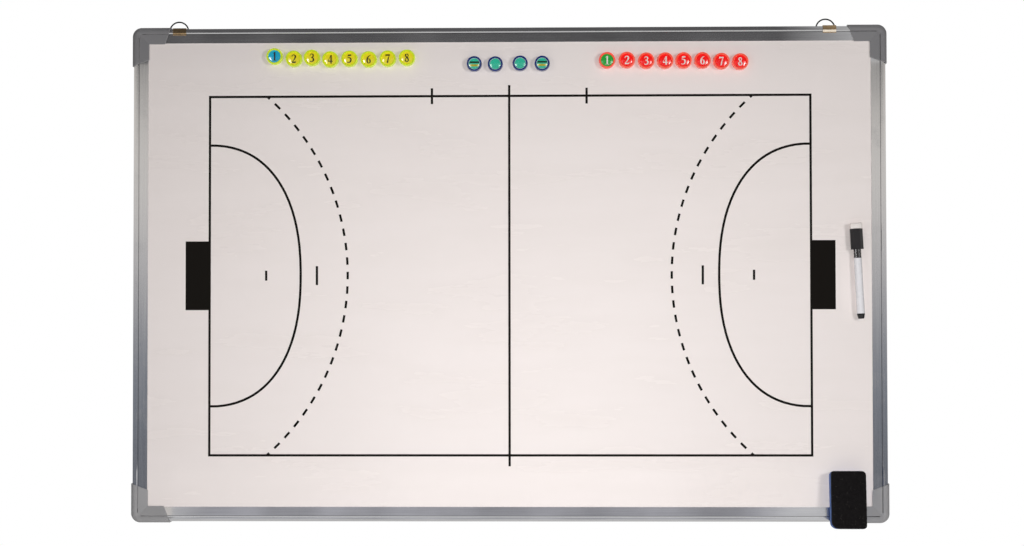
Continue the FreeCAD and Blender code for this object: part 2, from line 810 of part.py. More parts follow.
def pen_grip():
    """Grip section: nose for the cap, ribbed collar that shows, and a plug in the barrel."""
    nose = grip_nose_diameter / 2
    collar = grip_diameter / 2
    plug = barrel_diameter / 2 - barrel_wall - pen_fit
    nib_hole = nib_diameter / 2 + pen_fit
    foot = -grip_length - grip_plug_length
    body = turned(chain([Vector(nib_hole, 0, grip_nose_length), Vector(nose - pen_fit, 0, grip_nose_length),
                         Vector(nose, 0, 0), Vector(collar, 0, 0), Vector(collar, 0, -grip_length),
                         Vector(plug, 0, -grip_length), Vector(plug, 0, foot), Vector(nib_hole, 0, foot),
                         Vector(nib_hole, 0, grip_nose_length)]))
    for share in grip_rib_place_shares:
        low = -share * grip_length - grip_rib_width
        ring = Part.makeCylinder(grip_diameter, grip_rib_width, Vector(0, 0, low))
        core = Part.makeCylinder(collar - grip_rib_depth, grip_rib_width, Vector(0, 0, low))
        body = body.cut(ring.cut(core))
    return body.Solids[0]


def pen_nib():
    """Bullet nib with a round tip, held in the grip."""
    radius = nib_diameter / 2
    tip = grip_nose_length + nib_show
    straight = tip - radius
    base = tip - nib_length
    bend = radius * math.sqrt(1 / 2)
    edges = chain([Vector(0, 0, tip), Vector(0, 0, base), Vector(radius, 0, base), Vector(radius, 0, straight)])
    edges.append(arc(Vector(radius, 0, straight), Vector(bend, 0, straight + bend), Vector(0, 0, tip)))
    return turned(edges)


def pen_barrel():
    outer = barrel_diameter / 2
    base = Vector(0, 0, -grip_length - barrel_length)
    tube = Part.makeCylinder(outer, barrel_length, base)
    return tube.cut(Part.makeCylinder(outer - barrel_wall, barrel_length, base))


def pen_end_plug():
    """Tapered end plug with a collar and a spigot in the barrel."""
    top = -grip_length - barrel_length
    spigot = barrel_diameter / 2 - barrel_wall - pen_fit
    collar = barrel_diameter / 2
    tip = end_plug_tip_diameter / 2
    end = top - end_plug_length
    bend = end_plug_round * (1 - math.sqrt(1 / 2))
    start = Vector(tip, 0, end + end_plug_round)
    finish = Vector(tip - end_plug_round, 0, end)
    edges = chain([Vector(0, 0, end), Vector(0, 0, top + end_plug_spigot), Vector(spigot, 0, top + end_plug_spigot),
                   Vector(spigot, 0, top), Vector(collar, 0, top), Vector(collar, 0, top - end_plug_collar), start])
    edges.append(arc(start, Vector(tip - bend, 0, end + bend), finish))
    edges.append(line(finish, Vector(0, 0, end)))
    return turned(edges)


def pen_reservoir():
    """Fibre ink rod between the grip and the end plug."""
    low = end_plug_spigot - grip_length - barrel_length
    high = -grip_length - grip_plug_length
    return Part.makeCylinder(reservoir_diameter / 2, high - low, Vector(0, 0, low))


def marker():
    """Pen and cap, laid on the face and leaning a little."""
    nodes = {"marker_cap": pen_cap(), "marker_cap_felt": pen_pad(), "marker_cap_magnet": pen_magnet_solid(0),
             "marker_grip": pen_grip(), "marker_nib": pen_nib(), "marker_barrel": pen_barrel(),
             "marker_end_plug": pen_end_plug(), "marker_ink_reservoir": pen_reservoir()}
    place = Vector(half_width - marker_inset, token_seat - pen_cap_depth / 2, marker_height)
    for shape in nodes.values():
        shape.rotate(Vector(), Vector(0, 1, 0), -marker_lean_degrees)
        shape.translate(place)
    return nodes


def rounded_block(width, height, corner, rear, front):
    """Block with round upright corners, from a rear depth to a front depth."""
    block = box_between(Vector(-width / 2, -front, -height / 2), Vector(width / 2, -rear, height / 2))
    return block.makeFillet(corner, [edge for edge in block.Edges if edge.Vertexes[0].Y != edge.Vertexes[1].Y])


def edges_at_depth(shape, depth):
    """Edges of a shape that lie wholly at one depth."""
    flat = [e for e in shape.Edges if abs(e.BoundBox.YMin + depth) < eraser_seat]
    return [e for e in flat if abs(e.BoundBox.YMax + depth) < eraser_seat]


def eraser_body():
    """Body with a soft back edge and pockets for its magnets."""
    body = rounded_block(eraser_width, eraser_height, eraser_corner, 0, eraser_body_thickness)
    body = body.makeFillet(eraser_back_round, edges_at_depth(body, 0))
    for seat in eraser_magnet_seats():
        radius = eraser_magnet_diameter / 2 + eraser_magnet_fit
        depth = eraser_magnet_thickness + eraser_magnet_fit
        body = body.cut(cylinder(radius, depth, seat, Vector(0, -1, 0)))
    return body.Solids[0]


def eraser_magnet_seats():
    reach = eraser_height * eraser_magnet_place_share
    return [Vector(0, 0, reach), Vector(0, 0, -reach)]


def eraser_magnets():
    radius = eraser_magnet_diameter / 2
    discs = [cylinder(radius, eraser_magnet_thickness, seat, Vector(0, -1, 0)) for seat in eraser_magnet_seats()]
    return Part.makeCompound(discs)


def eraser_felt():
    """Felt face on the front of the body, with softened edges."""
    inset = eraser_felt_inset
    front = eraser_body_thickness + eraser_felt_thickness
    felt = rounded_block(eraser_width - 2 * inset, eraser_height - 2 * inset, eraser_corner - inset,
                         eraser_body_thickness, front)
    return felt.makeFillet(eraser_felt_round, edges_at_depth(felt, front))


def eraser():
    """Eraser with its top on the face and its foot on the bead of the corner cap."""
    nodes = {"eraser_body": eraser_body(), "eraser_felt": eraser_felt(), "eraser_magnets": eraser_magnets()}
    middle = eraser_bottom_inset - half_height
    below = eraser_bottom_inset - bead_middle
    above = eraser_height / 2
    rise = bead_rise + cap_wall
    lean = math.atan2(rise, above + below)
    back = sheet_face - eraser_seat / math.cos(lean) - above * math.sin(lean)
    for shape in nodes.values():
        shape.rotate(Vector(), Vector(1, 0, 0), -math.degrees(lean))
        shape.translate(Vector(half_width - eraser_side_inset, back, middle))
    return nodes


def main():
    nodes = {**panel_layers(), "court_print": court_print(), **rails(), **corner_caps(),
             "corner_screws": corner_screws(), **hangers(), **tokens(), **marker(), **eraser()}
    os.makedirs("parts", exist_ok=True)
    for name, shape in nodes.items():
        shape.exportStep(f"parts/{name}.step")


main()
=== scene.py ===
"""Looks of a handball tactics board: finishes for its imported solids, and its tokens, felts and foam."""

import math
import random
from functools import partial

import bmesh
import bpy
from bpy.props import FloatProperty, FloatVectorProperty, IntProperty, PointerProperty
from bpy.types import Node, NodeSocket, Operator, Panel, PropertyGroup
from mathutils import Matrix, Vector, noise


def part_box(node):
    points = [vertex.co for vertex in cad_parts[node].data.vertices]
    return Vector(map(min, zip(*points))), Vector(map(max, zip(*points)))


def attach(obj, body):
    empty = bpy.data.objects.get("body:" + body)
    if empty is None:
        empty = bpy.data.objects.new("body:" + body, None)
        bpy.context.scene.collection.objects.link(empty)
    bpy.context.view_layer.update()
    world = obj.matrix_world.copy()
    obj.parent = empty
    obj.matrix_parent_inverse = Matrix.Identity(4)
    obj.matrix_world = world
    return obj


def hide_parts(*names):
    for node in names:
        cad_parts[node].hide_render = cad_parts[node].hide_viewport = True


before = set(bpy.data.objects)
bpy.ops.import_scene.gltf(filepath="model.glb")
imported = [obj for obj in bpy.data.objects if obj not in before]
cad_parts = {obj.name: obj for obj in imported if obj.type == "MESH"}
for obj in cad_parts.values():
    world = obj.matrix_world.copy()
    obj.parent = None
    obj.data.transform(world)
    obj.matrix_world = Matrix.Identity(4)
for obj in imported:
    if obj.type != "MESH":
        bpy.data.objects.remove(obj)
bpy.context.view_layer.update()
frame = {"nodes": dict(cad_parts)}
sheet_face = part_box("writing_sheet")[0].y

bl_info = {
    "name": "Tactics Board",
    "version": (1, 0, 0),
    "blender": (4, 5, 0),
    "location": "3D View > Sidebar > Tactics Board",
    "description": "Dresses the packed tactics board with its finishes, tokens, marker and eraser",
    "category": "Object",
}


def linear(hex_colour):
    """An sRGB hex colour as linear red, green, blue and alpha."""
    shares = [int(hex_colour[start:start + 2], 16) / 255 for start in (1, 3, 5)]
    return [s / 12.92 if s <= 0.04045 else ((s + 0.055) / 1.055) ** 2.4 for s in shares] + [1.0]


def colour_setting(label, tells, hex_colour):
    """A colour for the sidebar."""
    return FloatVectorProperty(name=label, description=tells, subtype="COLOR", size=4, min=0.0, max=1.0,
                               default=linear(hex_colour))


def length_setting(label, tells, metres):
    """A length for the sidebar."""
    return FloatProperty(name=label, description=tells, unit="LENGTH", subtype="DISTANCE", precision=5,
                         default=metres)


def angle_setting(label, tells, degrees):
    """An angle for the sidebar."""
    return FloatProperty(name=label, description=tells, subtype="ANGLE", default=math.radians(degrees))


def power_setting(label, tells, watts):
    """A lamp's power for the sidebar."""
    return FloatProperty(name=label, description=tells, unit="POWER", default=watts)


class StageSettings(PropertyGroup):
    distance: length_setting("Camera distance", "From the lens to the writing sheet", 2.35)
    width: length_setting("View width", "What the picture spans at the writing sheet", 1.22384)
    side: length_setting("Camera side step", "How far right of the board's middle the lens stands", 0.0574)
    height: length_setting("Camera height", "How far above the board's middle the lens stands", -0.059)
    turn: angle_setting("Camera turn", "How far the lens turns to the left", 1.297)
    tilt: angle_setting("Camera tilt", "How far the lens looks up", 1.461)
    roll: angle_setting("Camera roll", "How far the picture leans", 0.077)
    floor_drop: length_setting("Floor drop", "How far the floor lies below the board's middle", 0.75)
    key_power: power_setting("Key light", "Low, close front light that throws no shadow", 5.2)
    right_power: power_setting("Right light", "Softbox on the right", 16.4)
    left_power: power_setting("Left light", "Softbox on the left", 6.3)
    rear_power: power_setting("Rear light", "Softbox behind the board", 14.0)
    strip_power: power_setting("Strip lights", "Tall strips that only polished pieces mirror", 42.0)
    wall_distance: length_setting("Wall distance", "How far the studio wall stands round the board", 2.0)
    ambient: FloatProperty(name="Room light", description="Even light from all round", default=0.01)


class PanelSettings(PropertyGroup):
    lacquer: colour_setting("Lacquer", "White lacquer of the writing sheet", "#f4ebe8")
    wiped: colour_setting("Wiped lacquer", "Lacquer where ink was wiped off", "#f0e7e3")
    ink: colour_setting("Court ink", "Printed lines and goals", "#080604")
    fibre: colour_setting("Fibreboard", "Core between the sheets", "#8a6c4a")
    zinc: colour_setting("Galvanised back", "Zinc on the back sheet", "#a7abae")


class FrameSettings(PropertyGroup):
    aluminium: colour_setting("Rails", "Anodised aluminium", "#b8b8ba")
    line_tone: colour_setting("Rail lines", "Aluminium in the lines of the die", "#d4d4d5")
    cap: colour_setting("Corner caps", "Grey moulded plastic", "#9b9a9b")
    # Painted shade: the upper caps render darker towards the top of the board.
    cap_high: colour_setting("Upper caps", "Grey plastic, darker from carrying hands", "#7f7e80")
    # Painted highlight: the colour that the caps' edges take.
    cap_edge: colour_setting("Rubbed edges", "Cap plastic where edges are rubbed", "#c2c0c1")
    clip: colour_setting("Hanger clips", "Yellow zinc on steel strip", "#cfb188")
    ring: colour_setting("Hanger rings", "Nickel on steel wire", "#0b0a0b")
    screw: colour_setting("Screws", "Bright zinc on steel", "#9a9da0")


class TokenSettings(PropertyGroup):
    yellow_cup: colour_setting("Yellow cups", "Fluorescent yellow plastic", "#d3e62a")
    yellow_label: colour_setting("Yellow labels", "Printed golden yellow", "#eadb20")
    yellow_keeper: colour_setting("Yellow keeper", "Printed disc of yellow 1", "#14b4e0")
    red_cup: colour_setting("Red cups", "Fluorescent red plastic", "#ff6a54")
    red_label: colour_setting("Red labels", "Printed red", "#ff1212")
    red_keeper: colour_setting("Red keeper", "Printed disc of red 1", "#1fb040")
    blue_cup: colour_setting("Blue cups", "Dark blue plastic", "#0d2f76")
    blue_label: colour_setting("Blue labels", "Printed teal", "#33c9a8")
    dark_ink: colour_setting("Dark figures", "Figures on the yellow labels", "#2a1c08")
    light_ink: colour_setting("Light figures", "Figures on the red labels", "#fff4f0")
    band_dark: colour_setting("Dark band", "Upper band on the outer blue labels", "#0d3f22")
    band_light: colour_setting("Light band", "Lower band on the outer blue labels", "#c4b92c")
    figure_height: length_setting("Figure height", "Height of the printed figures", 0.0102)
    film: length_setting("Ink film", "Thickness of the figures' ink", 0.00005)
    rim: length_setting("Rim width", "Width of a cup's rim", 0.0024)
    cup_height: length_setting("Cup height", "From the writing sheet to a cup's rim", 0.0076)
    recess: length_setting("Recess", "Depth of the label's seat below the rim", 0.0022)
    face_edge: length_setting("Face edge", "Thickness of a clear face at its edge", 0.0005)
    dome: length_setting("Face dome", "How far a clear face bulges", 0.002)
    label: length_setting("Label thickness", "Printed disc", 0.0003)
    pocket: length_setting("Pocket radius", "Seat of the ferrite disc", 0.00705)


class MarkerSettings(PropertyGroup):
    black: colour_setting("Black plastic", "Cap, grip and end plug", "#171517")
    white: colour_setting("White plastic", "Barrel", "#f0eef1")
    pad: colour_setting("Felt pad", "Felt on the end of the cap", "#fbf4f0")
    nib: colour_setting("Nib", "Ink-soaked fibre", "#17161a")
    fibre: length_setting("Pad fibres", "Length of the pad's loose fibres", 0.0016)
    fibres: IntProperty(name="Pad fibre count", description="Loose fibres on the pad", default=260)


class EraserSettings(PropertyGroup):
    felt: colour_setting("Felt", "Black wiping felt", "#0f0d0e")
    lint: colour_setting("Lint", "Pale fibres caught in the felt", "#5d5955")
    foam: colour_setting("Foam", "Blue foam body", "#2a5fae")
    fibre: length_setting("Felt fibres", "Length of the felt's loose fibres", 0.0034)
    fibres: IntProperty(name="Felt fibre count", description="Loose fibres on the felt", default=1500)


class BoardSettings(PropertyGroup):
    stage: PointerProperty(type=StageSettings)
    panel: PointerProperty(type=PanelSettings)
    frame: PointerProperty(type=FrameSettings)
    tokens: PointerProperty(type=TokenSettings)
    marker: PointerProperty(type=MarkerSettings)
    eraser: PointerProperty(type=EraserSettings)


# Sockets of a Mix node for colours: the second colour's share, the first colour and the second.
SHARE, FIRST, SECOND = 0, 6, 7
WHITE = (1.0, 1.0, 1.0, 1.0)


def per_metre(millimetres):
    """How many spots of this width fit in a metre, which is a texture's scale."""
    return 1000.0 / millimetres


def toned(colour, share, lift=0.0):
    """A colour with a share of its light, lifted a little."""
    return [part * share + lift for part in colour[:3]] + [1.0]


def add_node(tree, kind, settings=None):
    """One node. A setting goes to the node's property of that name, or else to its socket.
    A socket as the setting is linked, and so is a node, by the first output that it uses."""
    node = tree.nodes.new("ShaderNode" + kind)
    for name, value in (settings or {}).items():
        if isinstance(value, Node):
            value = next(output for output in value.outputs if output.enabled)
        if isinstance(value, NodeSocket):
            tree.links.new(value, node.inputs[name])
        elif isinstance(name, str) and hasattr(node, name):
            setattr(node, name, value)
        else:
            node.inputs[name].default_value = value
    return node


def new_material(name, paint, *details, **measures):
    """A material whose nodes a paint function adds, from each point's place to the shader it returns."""
    material = bpy.data.materials.new(name)
    material.use_nodes = True
    material.node_tree.nodes.clear()
    add = partial(add_node, material.node_tree)
    place = add("TexCoord").outputs["Object"]
    add("OutputMaterial", {"Surface": paint(add, place, *details, **measures)})
    return material


def mottled(add, pattern, first, second, low, high):
    """Colour and roughness that follow a pattern, from the first colour to the second and low to high."""
    tone = add("Mix", {"data_type": "RGBA", SHARE: pattern, FIRST: first, SECOND: second})
    rough = add("MapRange", {"Value": pattern, "To Min": low, "To Max": high})
    return {"Base Color": tone, "Roughness": rough}


def rubbed_edges(add, bump, radius, sharp, share):
    """Rounded normals, and how much painted highlight a point gets: a share on a sharp edge, none on a flat.
    """
    soft_edge = add("Bevel", {"samples": 6, "Radius": radius, "Normal": bump})
    flat = add("NewGeometry").outputs["Normal"]
    facing = add("VectorMath", {"operation": "DOT_PRODUCT", 0: soft_edge, 1: flat})
    rubbed = add("MapRange", {"Value": facing, "From Min": 0.97, "From Max": sharp, "To Max": share})
    return soft_edge, rubbed


def dirty_creases(add, clean, dirt, samples, reach, open_from, shut_from, share):
    """A colour with painted shade in the solid's own creases, darker by a share where they are shut in."""
    open_air = add("AmbientOcclusion", {"samples": samples, "Distance": reach, "only_local": True})
    shut_in = add("MapRange", {
        "Value": open_air.outputs["AO"], "From Min": open_from, "From Max": shut_from, "To Max": share})
    return add("Mix", {"data_type": "RGBA", SHARE: shut_in, FIRST: clean, SECOND: dirt})


def looked_at(add):
    """1 where the camera, gloss or clear plastic shows a surface, and 0 where it only lights the object."""
    path = add("LightPath").outputs
    shown = add("Math", {"operation": "MAXIMUM", 0: path["Is Camera Ray"], 1: path["Is Glossy Ray"]})
    return add("Math", {"operation": "MAXIMUM", 0: shown, 1: path["Is Transmission Ray"]})


def lacquered_steel(add, place, settings):
    # White lacquer roller-coated on steel: smooth and glossy, with a low ripple and
    # faint duller bands where ink was wiped off along the arm's sweep.
    sweep = add("Mapping", {
        "Vector": place, "Rotation": (0.0, math.radians(24), 0.0), "Scale": (1.0, 1.0, 6.0)})
    bands = add("TexNoise", {"Vector": sweep, "Scale": per_metre(240), "Detail": 5.0, "Roughness": 0.6})
    wiped = add("MapRange", {"Value": bands, "From Min": 0.4, "From Max": 0.72, "To Max": 0.6})
    tone = add("Mix", {"data_type": "RGBA", SHARE: wiped, FIRST: settings.lacquer, SECOND: settings.wiped})
    gloss = add("MapRange", {
        "Value": bands, "From Min": 0.35, "From Max": 0.75, "To Min": 0.2, "To Max": 0.33})
    ripple = add("TexNoise", {"Vector": place, "Scale": per_metre(7), "Detail": 1.0})
    bump = add("Bump", {"Height": ripple, "Strength": 0.03, "Distance": 0.0003})
    return add("BsdfPrincipled", {"IOR": 1.5, "Base Color": tone, "Roughness": gloss, "Normal": bump})


def screen_ink(add, place, settings):
    # Black ink pulled through a screen: dense and a little duller than the lacquer, with mesh marks
    # drawn 0.8 mm apart, because the real 0.1 mm mesh is too fine to show.
    marks = add("TexNoise", {"Vector": place, "Scale": per_metre(0.8), "Detail": 2.0})
    ink = mottled(add, marks, settings.ink, linear("#120e0a"), low=0.42, high=0.58)
    return add("BsdfPrincipled", {"IOR": 1.5, "Specular IOR Level": 0.15, **ink})


def soft_fibreboard(add, place, settings):
    # Wood fibre pressed wet into a board: dull brown, felted strands a few millimetres long.
    strands = add("Mapping", {"Vector": place, "Scale": (0.3, 1.0, 1.6)})
    fibres = add("TexNoise", {"Vector": strands, "Scale": per_metre(2), "Detail": 6.0, "Roughness": 0.7})
    tone = add("Mix", {
        "data_type": "RGBA", SHARE: fibres, FIRST: settings.fibre, SECOND: linear("#b09068")})
    bump = add("Bump", {"Height": fibres, "Strength": 0.4, "Distance": 0.0003})
    return add("BsdfPrincipled", {"Roughness": 0.92, "IOR": 1.45, "Base Color": tone, "Normal": bump})


def galvanised_steel(add, place, settings):
    # Steel dipped in zinc: grey crystals about 9 mm across, each with its own sheen.
    spangle = add("TexVoronoi", {"Vector": place, "Scale": per_metre(9)})
    shade = add("SeparateColor", {"Color": spangle.outputs["Color"]})
    tone = add("Mix", {"data_type": "RGBA", SHARE: shade, FIRST: settings.zinc, SECOND: linear("#bbbec0")})
    sheen = add("MapRange", {"Value": shade.outputs["Green"], "To Min": 0.36, "To Max": 0.58})
    return add("BsdfPrincipled", {"Metallic": 1.0, "Base Color": tone, "Roughness": sheen})


def extruded_aluminium(add, place, settings, stretch):
    # Aluminium pushed through a die and anodised satin: soft reflections drawn out along the rail,
    # die lines drawn 0.9 mm apart because real ones are too fine to show, a few dull scuffs,
    # and painted shade that darkens the crease.
    drawn = add("Mapping", {"Vector": place, "Scale": stretch})
    lines = add("TexNoise", {"Vector": drawn, "Scale": per_metre(0.9), "Detail": 3.0, "Roughness": 0.6})
    scuffs = add("TexNoise", {"Vector": place, "Scale": per_metre(26), "Detail": 7.0, "Roughness": 0.62})
    worn = add("MapRange", {"Value": scuffs, "From Min": 0.56, "From Max": 0.74, "To Max": 0.06})
    clean = add("Mix", {
        "data_type": "RGBA", SHARE: lines, FIRST: settings.aluminium, SECOND: settings.line_tone})
    # Painted shade: the rail's colour darkens where its crease shuts it in.
    tone = dirty_creases(add, clean, linear("#4a494b"), samples=6, reach=0.002, open_from=0.9,
                         shut_from=0.55, share=0.7)
    satin = add("MapRange", {
        "Value": lines, "From Min": 0.3, "From Max": 0.7, "To Min": 0.14, "To Max": 0.2})
    rough = add("Math", {"operation": "ADD", 0: satin, 1: worn})
    bump = add("Bump", {"Height": lines, "Strength": 0.05, "Distance": 0.0001})
    return add("BsdfPrincipled", {"Metallic": 1.0, "Base Color": tone, "Roughness": rough, "Normal": bump})


def moulded_cap_plastic(add, place, settings, dirt_from, dirt_share):
    # ABS moulded in a spark-eroded tool: even grey with a soft sheen, fine pits drawn 0.7 mm apart
    # because the real 0.2 mm ones are too fine to show, a painted highlight on its edges,
    # painted shade in its creases, and painted shade that darkens the caps towards the top of the board.
    pits = add("TexNoise", {"Vector": place, "Scale": per_metre(0.7), "Detail": 2.0})
    cloud = add("TexNoise", {"Vector": place, "Scale": per_metre(16), "Detail": 3.0})
    bump = add("Bump", {"Height": pits, "Strength": 0.12, "Distance": 0.0002})
    # Painted highlight: the edges that the bevel rounds take the paler edge colour.
    soft_edge, rubbed = rubbed_edges(add, bump, radius=0.0009, sharp=0.82, share=0.9)
    height = add("SeparateXYZ", {"Vector": place}).outputs["Z"]
    # Painted shade: the grey darkens towards the top of the board, with a random cloud on top.
    handled = add("MapRange", {"Value": height, "From Min": -0.25, "From Max": 0.25})
    uneven = add("Math", {"operation": "MULTIPLY_ADD", 0: cloud, 1: 0.25, 2: handled})
    body = add("Mix", {"data_type": "RGBA", SHARE: uneven, FIRST: settings.cap, SECOND: settings.cap_high})
    clean = add("Mix", {"data_type": "RGBA", SHARE: rubbed, FIRST: body, SECOND: settings.cap_edge})
    # Painted shade: darker where the cap's creases shut it in.
    tone = dirty_creases(add, clean, linear("#1e1e21"), samples=8, reach=0.003, open_from=dirt_from,
                         shut_from=dirt_from - 0.25, share=dirt_share)
    sheen = add("MapRange", {"Value": cloud, "To Min": 0.36, "To Max": 0.5})
    return add("BsdfPrincipled", {"IOR": 1.53, "Base Color": tone, "Roughness": sheen, "Normal": soft_edge})


# A band of painted highlight that no clip shows: its middle is far below the board, and it has no height.
NO_BLOOM = (-9.0, 0.0)


def plated_steel(add, place, bright, dull, edge, shine, cloud_width, bloom=NO_BLOOM):
    # Steel electroplated in a barrel: shiny metal with cloudy patches where the plating is thin,
    # fine rub marks from the other parts in the barrel, a painted highlight on its edges, and a band of
    # painted highlight round a height, pale and matt, for the glint on a clip's lip.
    clouds = add("TexNoise", {
        "Vector": place, "Scale": per_metre(cloud_width), "Detail": 5.0, "Roughness": 0.6})
    plating = mottled(add, clouds, bright, dull, low=shine, high=shine + 0.2)
    bump = add("Bump", {"Height": clouds, "Strength": 0.05, "Distance": 0.0001})
    height = add("SeparateXYZ", {"Vector": place}).outputs["Z"]
    # Painted highlight: a band round the given height turns matt and takes the pale edge colour.
    damp = add("Math", {"operation": "COMPARE", 0: height, 1: bloom[0], 2: bloom[1]})
    metal = add("Math", {"operation": "SUBTRACT", 0: 1.0, 1: damp})
    # Painted highlight: sharp edges take the pale edge colour.
    soft_edge, bare = rubbed_edges(add, bump, radius=0.0006, sharp=0.85, share=0.85)
    worn = add("Mix", {"data_type": "RGBA", SHARE: bare, FIRST: plating["Base Color"], SECOND: edge})
    bloomed = add("Mix", {"data_type": "RGBA", SHARE: damp, FIRST: worn, SECOND: edge})
    return add("BsdfPrincipled", {
        "Specular Tint": edge, "Base Color": bloomed, "Metallic": metal, "Roughness": plating["Roughness"],
        "Normal": soft_edge})


def dyed_cup_plastic(add, place, colour, clearness, glow):
    # Polystyrene with a fluorescent dye, moulded glossy: light goes into it and comes out tinted,
    # a painted glow shines from the rim onto neighbours with no lamp, and flow marks a few millimetres long
    # stay faintly visible.
    flow = add("TexNoise", {"Vector": place, "Scale": per_metre(4), "Detail": 2.0})
    plastic = mottled(add, flow, colour, toned(colour, 0.82), low=0.1, high=0.2)
    return add("BsdfPrincipled", {
        "IOR": 1.59, "Transmission Weight": clearness, "Emission Color": colour, "Emission Strength": glow,
        **plastic})


def printed_paper(add, place, colour, glow=0.0):
    # Coated paper, offset printed: even colour with a slight mottle about a millimetre wide
    # and a dull finish. Fluorescent inks get a painted glow: a little light of their own, with no lamp.
    mottle = add("TexNoise", {"Vector": place, "Scale": per_metre(1.1), "Detail": 3.0})
    print_coat = mottled(add, mottle, colour, toned(colour, 0.84), low=0.5, high=0.65)
    return add("BsdfPrincipled", {
        "IOR": 1.5, "Emission Color": colour, "Emission Strength": glow, **print_coat})


def clear_face_plastic(add, place):
    # Acrylic, moulded clear: the label shows straight through, and only lamps and edges shine on it.
    flow = add("TexNoise", {"Vector": place, "Scale": per_metre(5), "Detail": 1.0})
    polish = add("MapRange", {"Value": flow, "To Min": 0.2, "To Max": 0.25})
    shine = add("BsdfGlossy", {"Color": WHITE, "Roughness": polish})
    through = add("BsdfTransparent", {"Color": linear("#fbfbfa")})
    mirrored = add("Fresnel", {"IOR": 1.49})
    inside = add("NewGeometry").outputs["Backfacing"]
    outside = add("Mix", {"data_type": "FLOAT", 0: inside, 2: mirrored, 3: 0.0})
    return add("MixShader", {0: outside, 1: through, 2: shine})


def sintered_ferrite(add, place):
    # Ferrite powder pressed and fired: dull charcoal, with grains drawn 0.5 mm wide,
    # because real ones are too fine to show.
    grain = add("TexNoise", {"Vector": place, "Scale": per_metre(0.5), "Detail": 3.0})
    tone = add("Mix", {
        "data_type": "RGBA", SHARE: grain, FIRST: linear("#2b2a2c"), SECOND: linear("#45444a")})
    bump = add("Bump", {"Height": grain, "Strength": 0.3, "Distance": 0.0001})
    return add("BsdfPrincipled", {"Roughness": 0.7, "Metallic": 0.2, "Base Color": tone, "Normal": bump})


def moulded_pen_plastic(add, place, colour, low_shine, high_shine):
    # Polypropylene, moulded: soft gloss with faint flow marks and a light haze of handling.
    haze = add("TexNoise", {"Vector": place, "Scale": per_metre(6), "Detail": 5.0, "Roughness": 0.65})
    tone = add("Mix", {"data_type": "RGBA", SHARE: haze, FIRST: colour, SECOND: toned(colour, 0.94, 0.004)})
    shine = add("MapRange", {
        "Value": haze, "From Min": 0.3, "From Max": 0.7, "To Min": low_shine, "To Max": high_shine})
    soft_edge = add("Bevel", {"samples": 4, "Radius": 0.0004})
    return add("BsdfPrincipled", {"IOR": 1.49, "Base Color": tone, "Roughness": shine, "Normal": soft_edge})


def pressed_felt(add, place, colour, fleck):
    # Wool pressed into felt: no gloss, a soft sheen at the edges and matted fibres drawn 0.5 mm wide,
    # because the real 0.03 mm ones are too fine to show.
    fibres = add("TexNoise", {
        "Vector": place, "Scale": per_metre(0.5), "Detail": 5.0, "Roughness": 0.7, "Distortion": 1.5})
    tufts = add("TexNoise", {"Vector": place, "Scale": per_metre(4), "Detail": 4.0, "Roughness": 0.6})
    mixed = add("Math", {"operation": "MULTIPLY", 0: fibres, 1: tufts})
    spread = add("MapRange", {"Value": mixed, "From Min": 0.15, "From Max": 0.45})
    tone = add("Mix", {"data_type": "RGBA", SHARE: spread, FIRST: colour, SECOND: fleck})
    bump = add("Bump", {"Height": fibres, "Strength": 0.6, "Distance": 0.0004})
    return add("BsdfPrincipled", {
        "Roughness": 0.96, "Specular IOR Level": 0.12, "Sheen Weight": 0.12, "Sheen Roughness": 0.5,
        "Base Color": tone, "Normal": bump})


def loose_fibres(add, _place, colour, pale):
    # Wool fibres worked loose from the felt: dull, most as dark as the felt and a few pale with dust.
    dust = add("Attribute", {"attribute_name": "dust"}).outputs["Fac"]
    tone = add("Mix", {"data_type": "RGBA", SHARE: dust, FIRST: colour, SECOND: pale})
    return add("BsdfPrincipled", {"Roughness": 0.9, "Specular IOR Level": 0.15, "Base Color": tone})


def closed_cell_foam(add, place, settings):
    # EVA foam, cut from a block: even blue with small closed cells, drawn 0.7 mm wide so that they show.
    cells = add("TexVoronoi", {"Vector": place, "Scale": per_metre(0.7)})
    cloud = add("TexNoise", {"Vector": place, "Scale": per_metre(8), "Detail": 3.0})
    foam = mottled(add, cloud, settings.foam, linear("#244f94"), low=0.6, high=0.8)
    bump = add("Bump", {"Height": cells, "Strength": 0.35, "Distance": 0.0002})
    return add("BsdfPrincipled", {"IOR": 1.48, "Sheen Weight": 0.1, "Normal": bump, **foam})


def seamless_paper(add, place):
    # Matt white background paper on the floor: pale and even with the faintest cloud, as pale in metal and
    # gloss, with a fifth of its tone left to the lamps so that shadows stay on it.
    cloud = add("TexNoise", {"Vector": place, "Scale": per_metre(400), "Detail": 2.0})
    tone = add("Mix", {
        "data_type": "RGBA", SHARE: cloud, FIRST: linear("#f4f3f2"), SECOND: linear("#eeedec")})
    lit = add("BsdfPrincipled", {"Roughness": 0.9, "Specular IOR Level": 0.1, "Base Color": tone})
    pale = add("Emission", {"Color": tone})
    share = add("Math", {"operation": "MULTIPLY", 0: looked_at(add), 1: 0.8})
    return add("MixShader", {0: share, 1: lit, 2: pale})


# Metres from the floor's middle to its edge, and from the board's middle up to the studio wall's top.
FLOOR_REACH = 2.2
WALL_TOP = 2.2

# Shades of the studio wall and of the cards near the level rails, at metres above the board's middle.
WALL_SHADES = ((-0.46, "#7a7d84"), (-0.33, "#7f838c"), (-0.18, "#8f96a2"), (-0.07, "#afb0b4"),
               (0.04, "#dcdadb"), (0.13, "#eeebe8"), (0.26, "#fffaf4"), (0.39, "#fdf7f0"), (0.48, "#cfccc6"),
               (0.56, "#8a8988"))
CARD_SHADES = ((-0.31, "#d9d9dc"), (-0.284, "#d9d9dc"), (-0.276, "#bcbcc2"), (-0.256, "#bcbcc2"),
               (-0.25, "#e1e1e4"), (-0.238, "#e1e1e4"), (0.25, "#6b6a6b"), (0.42, "#6b6a6b"))


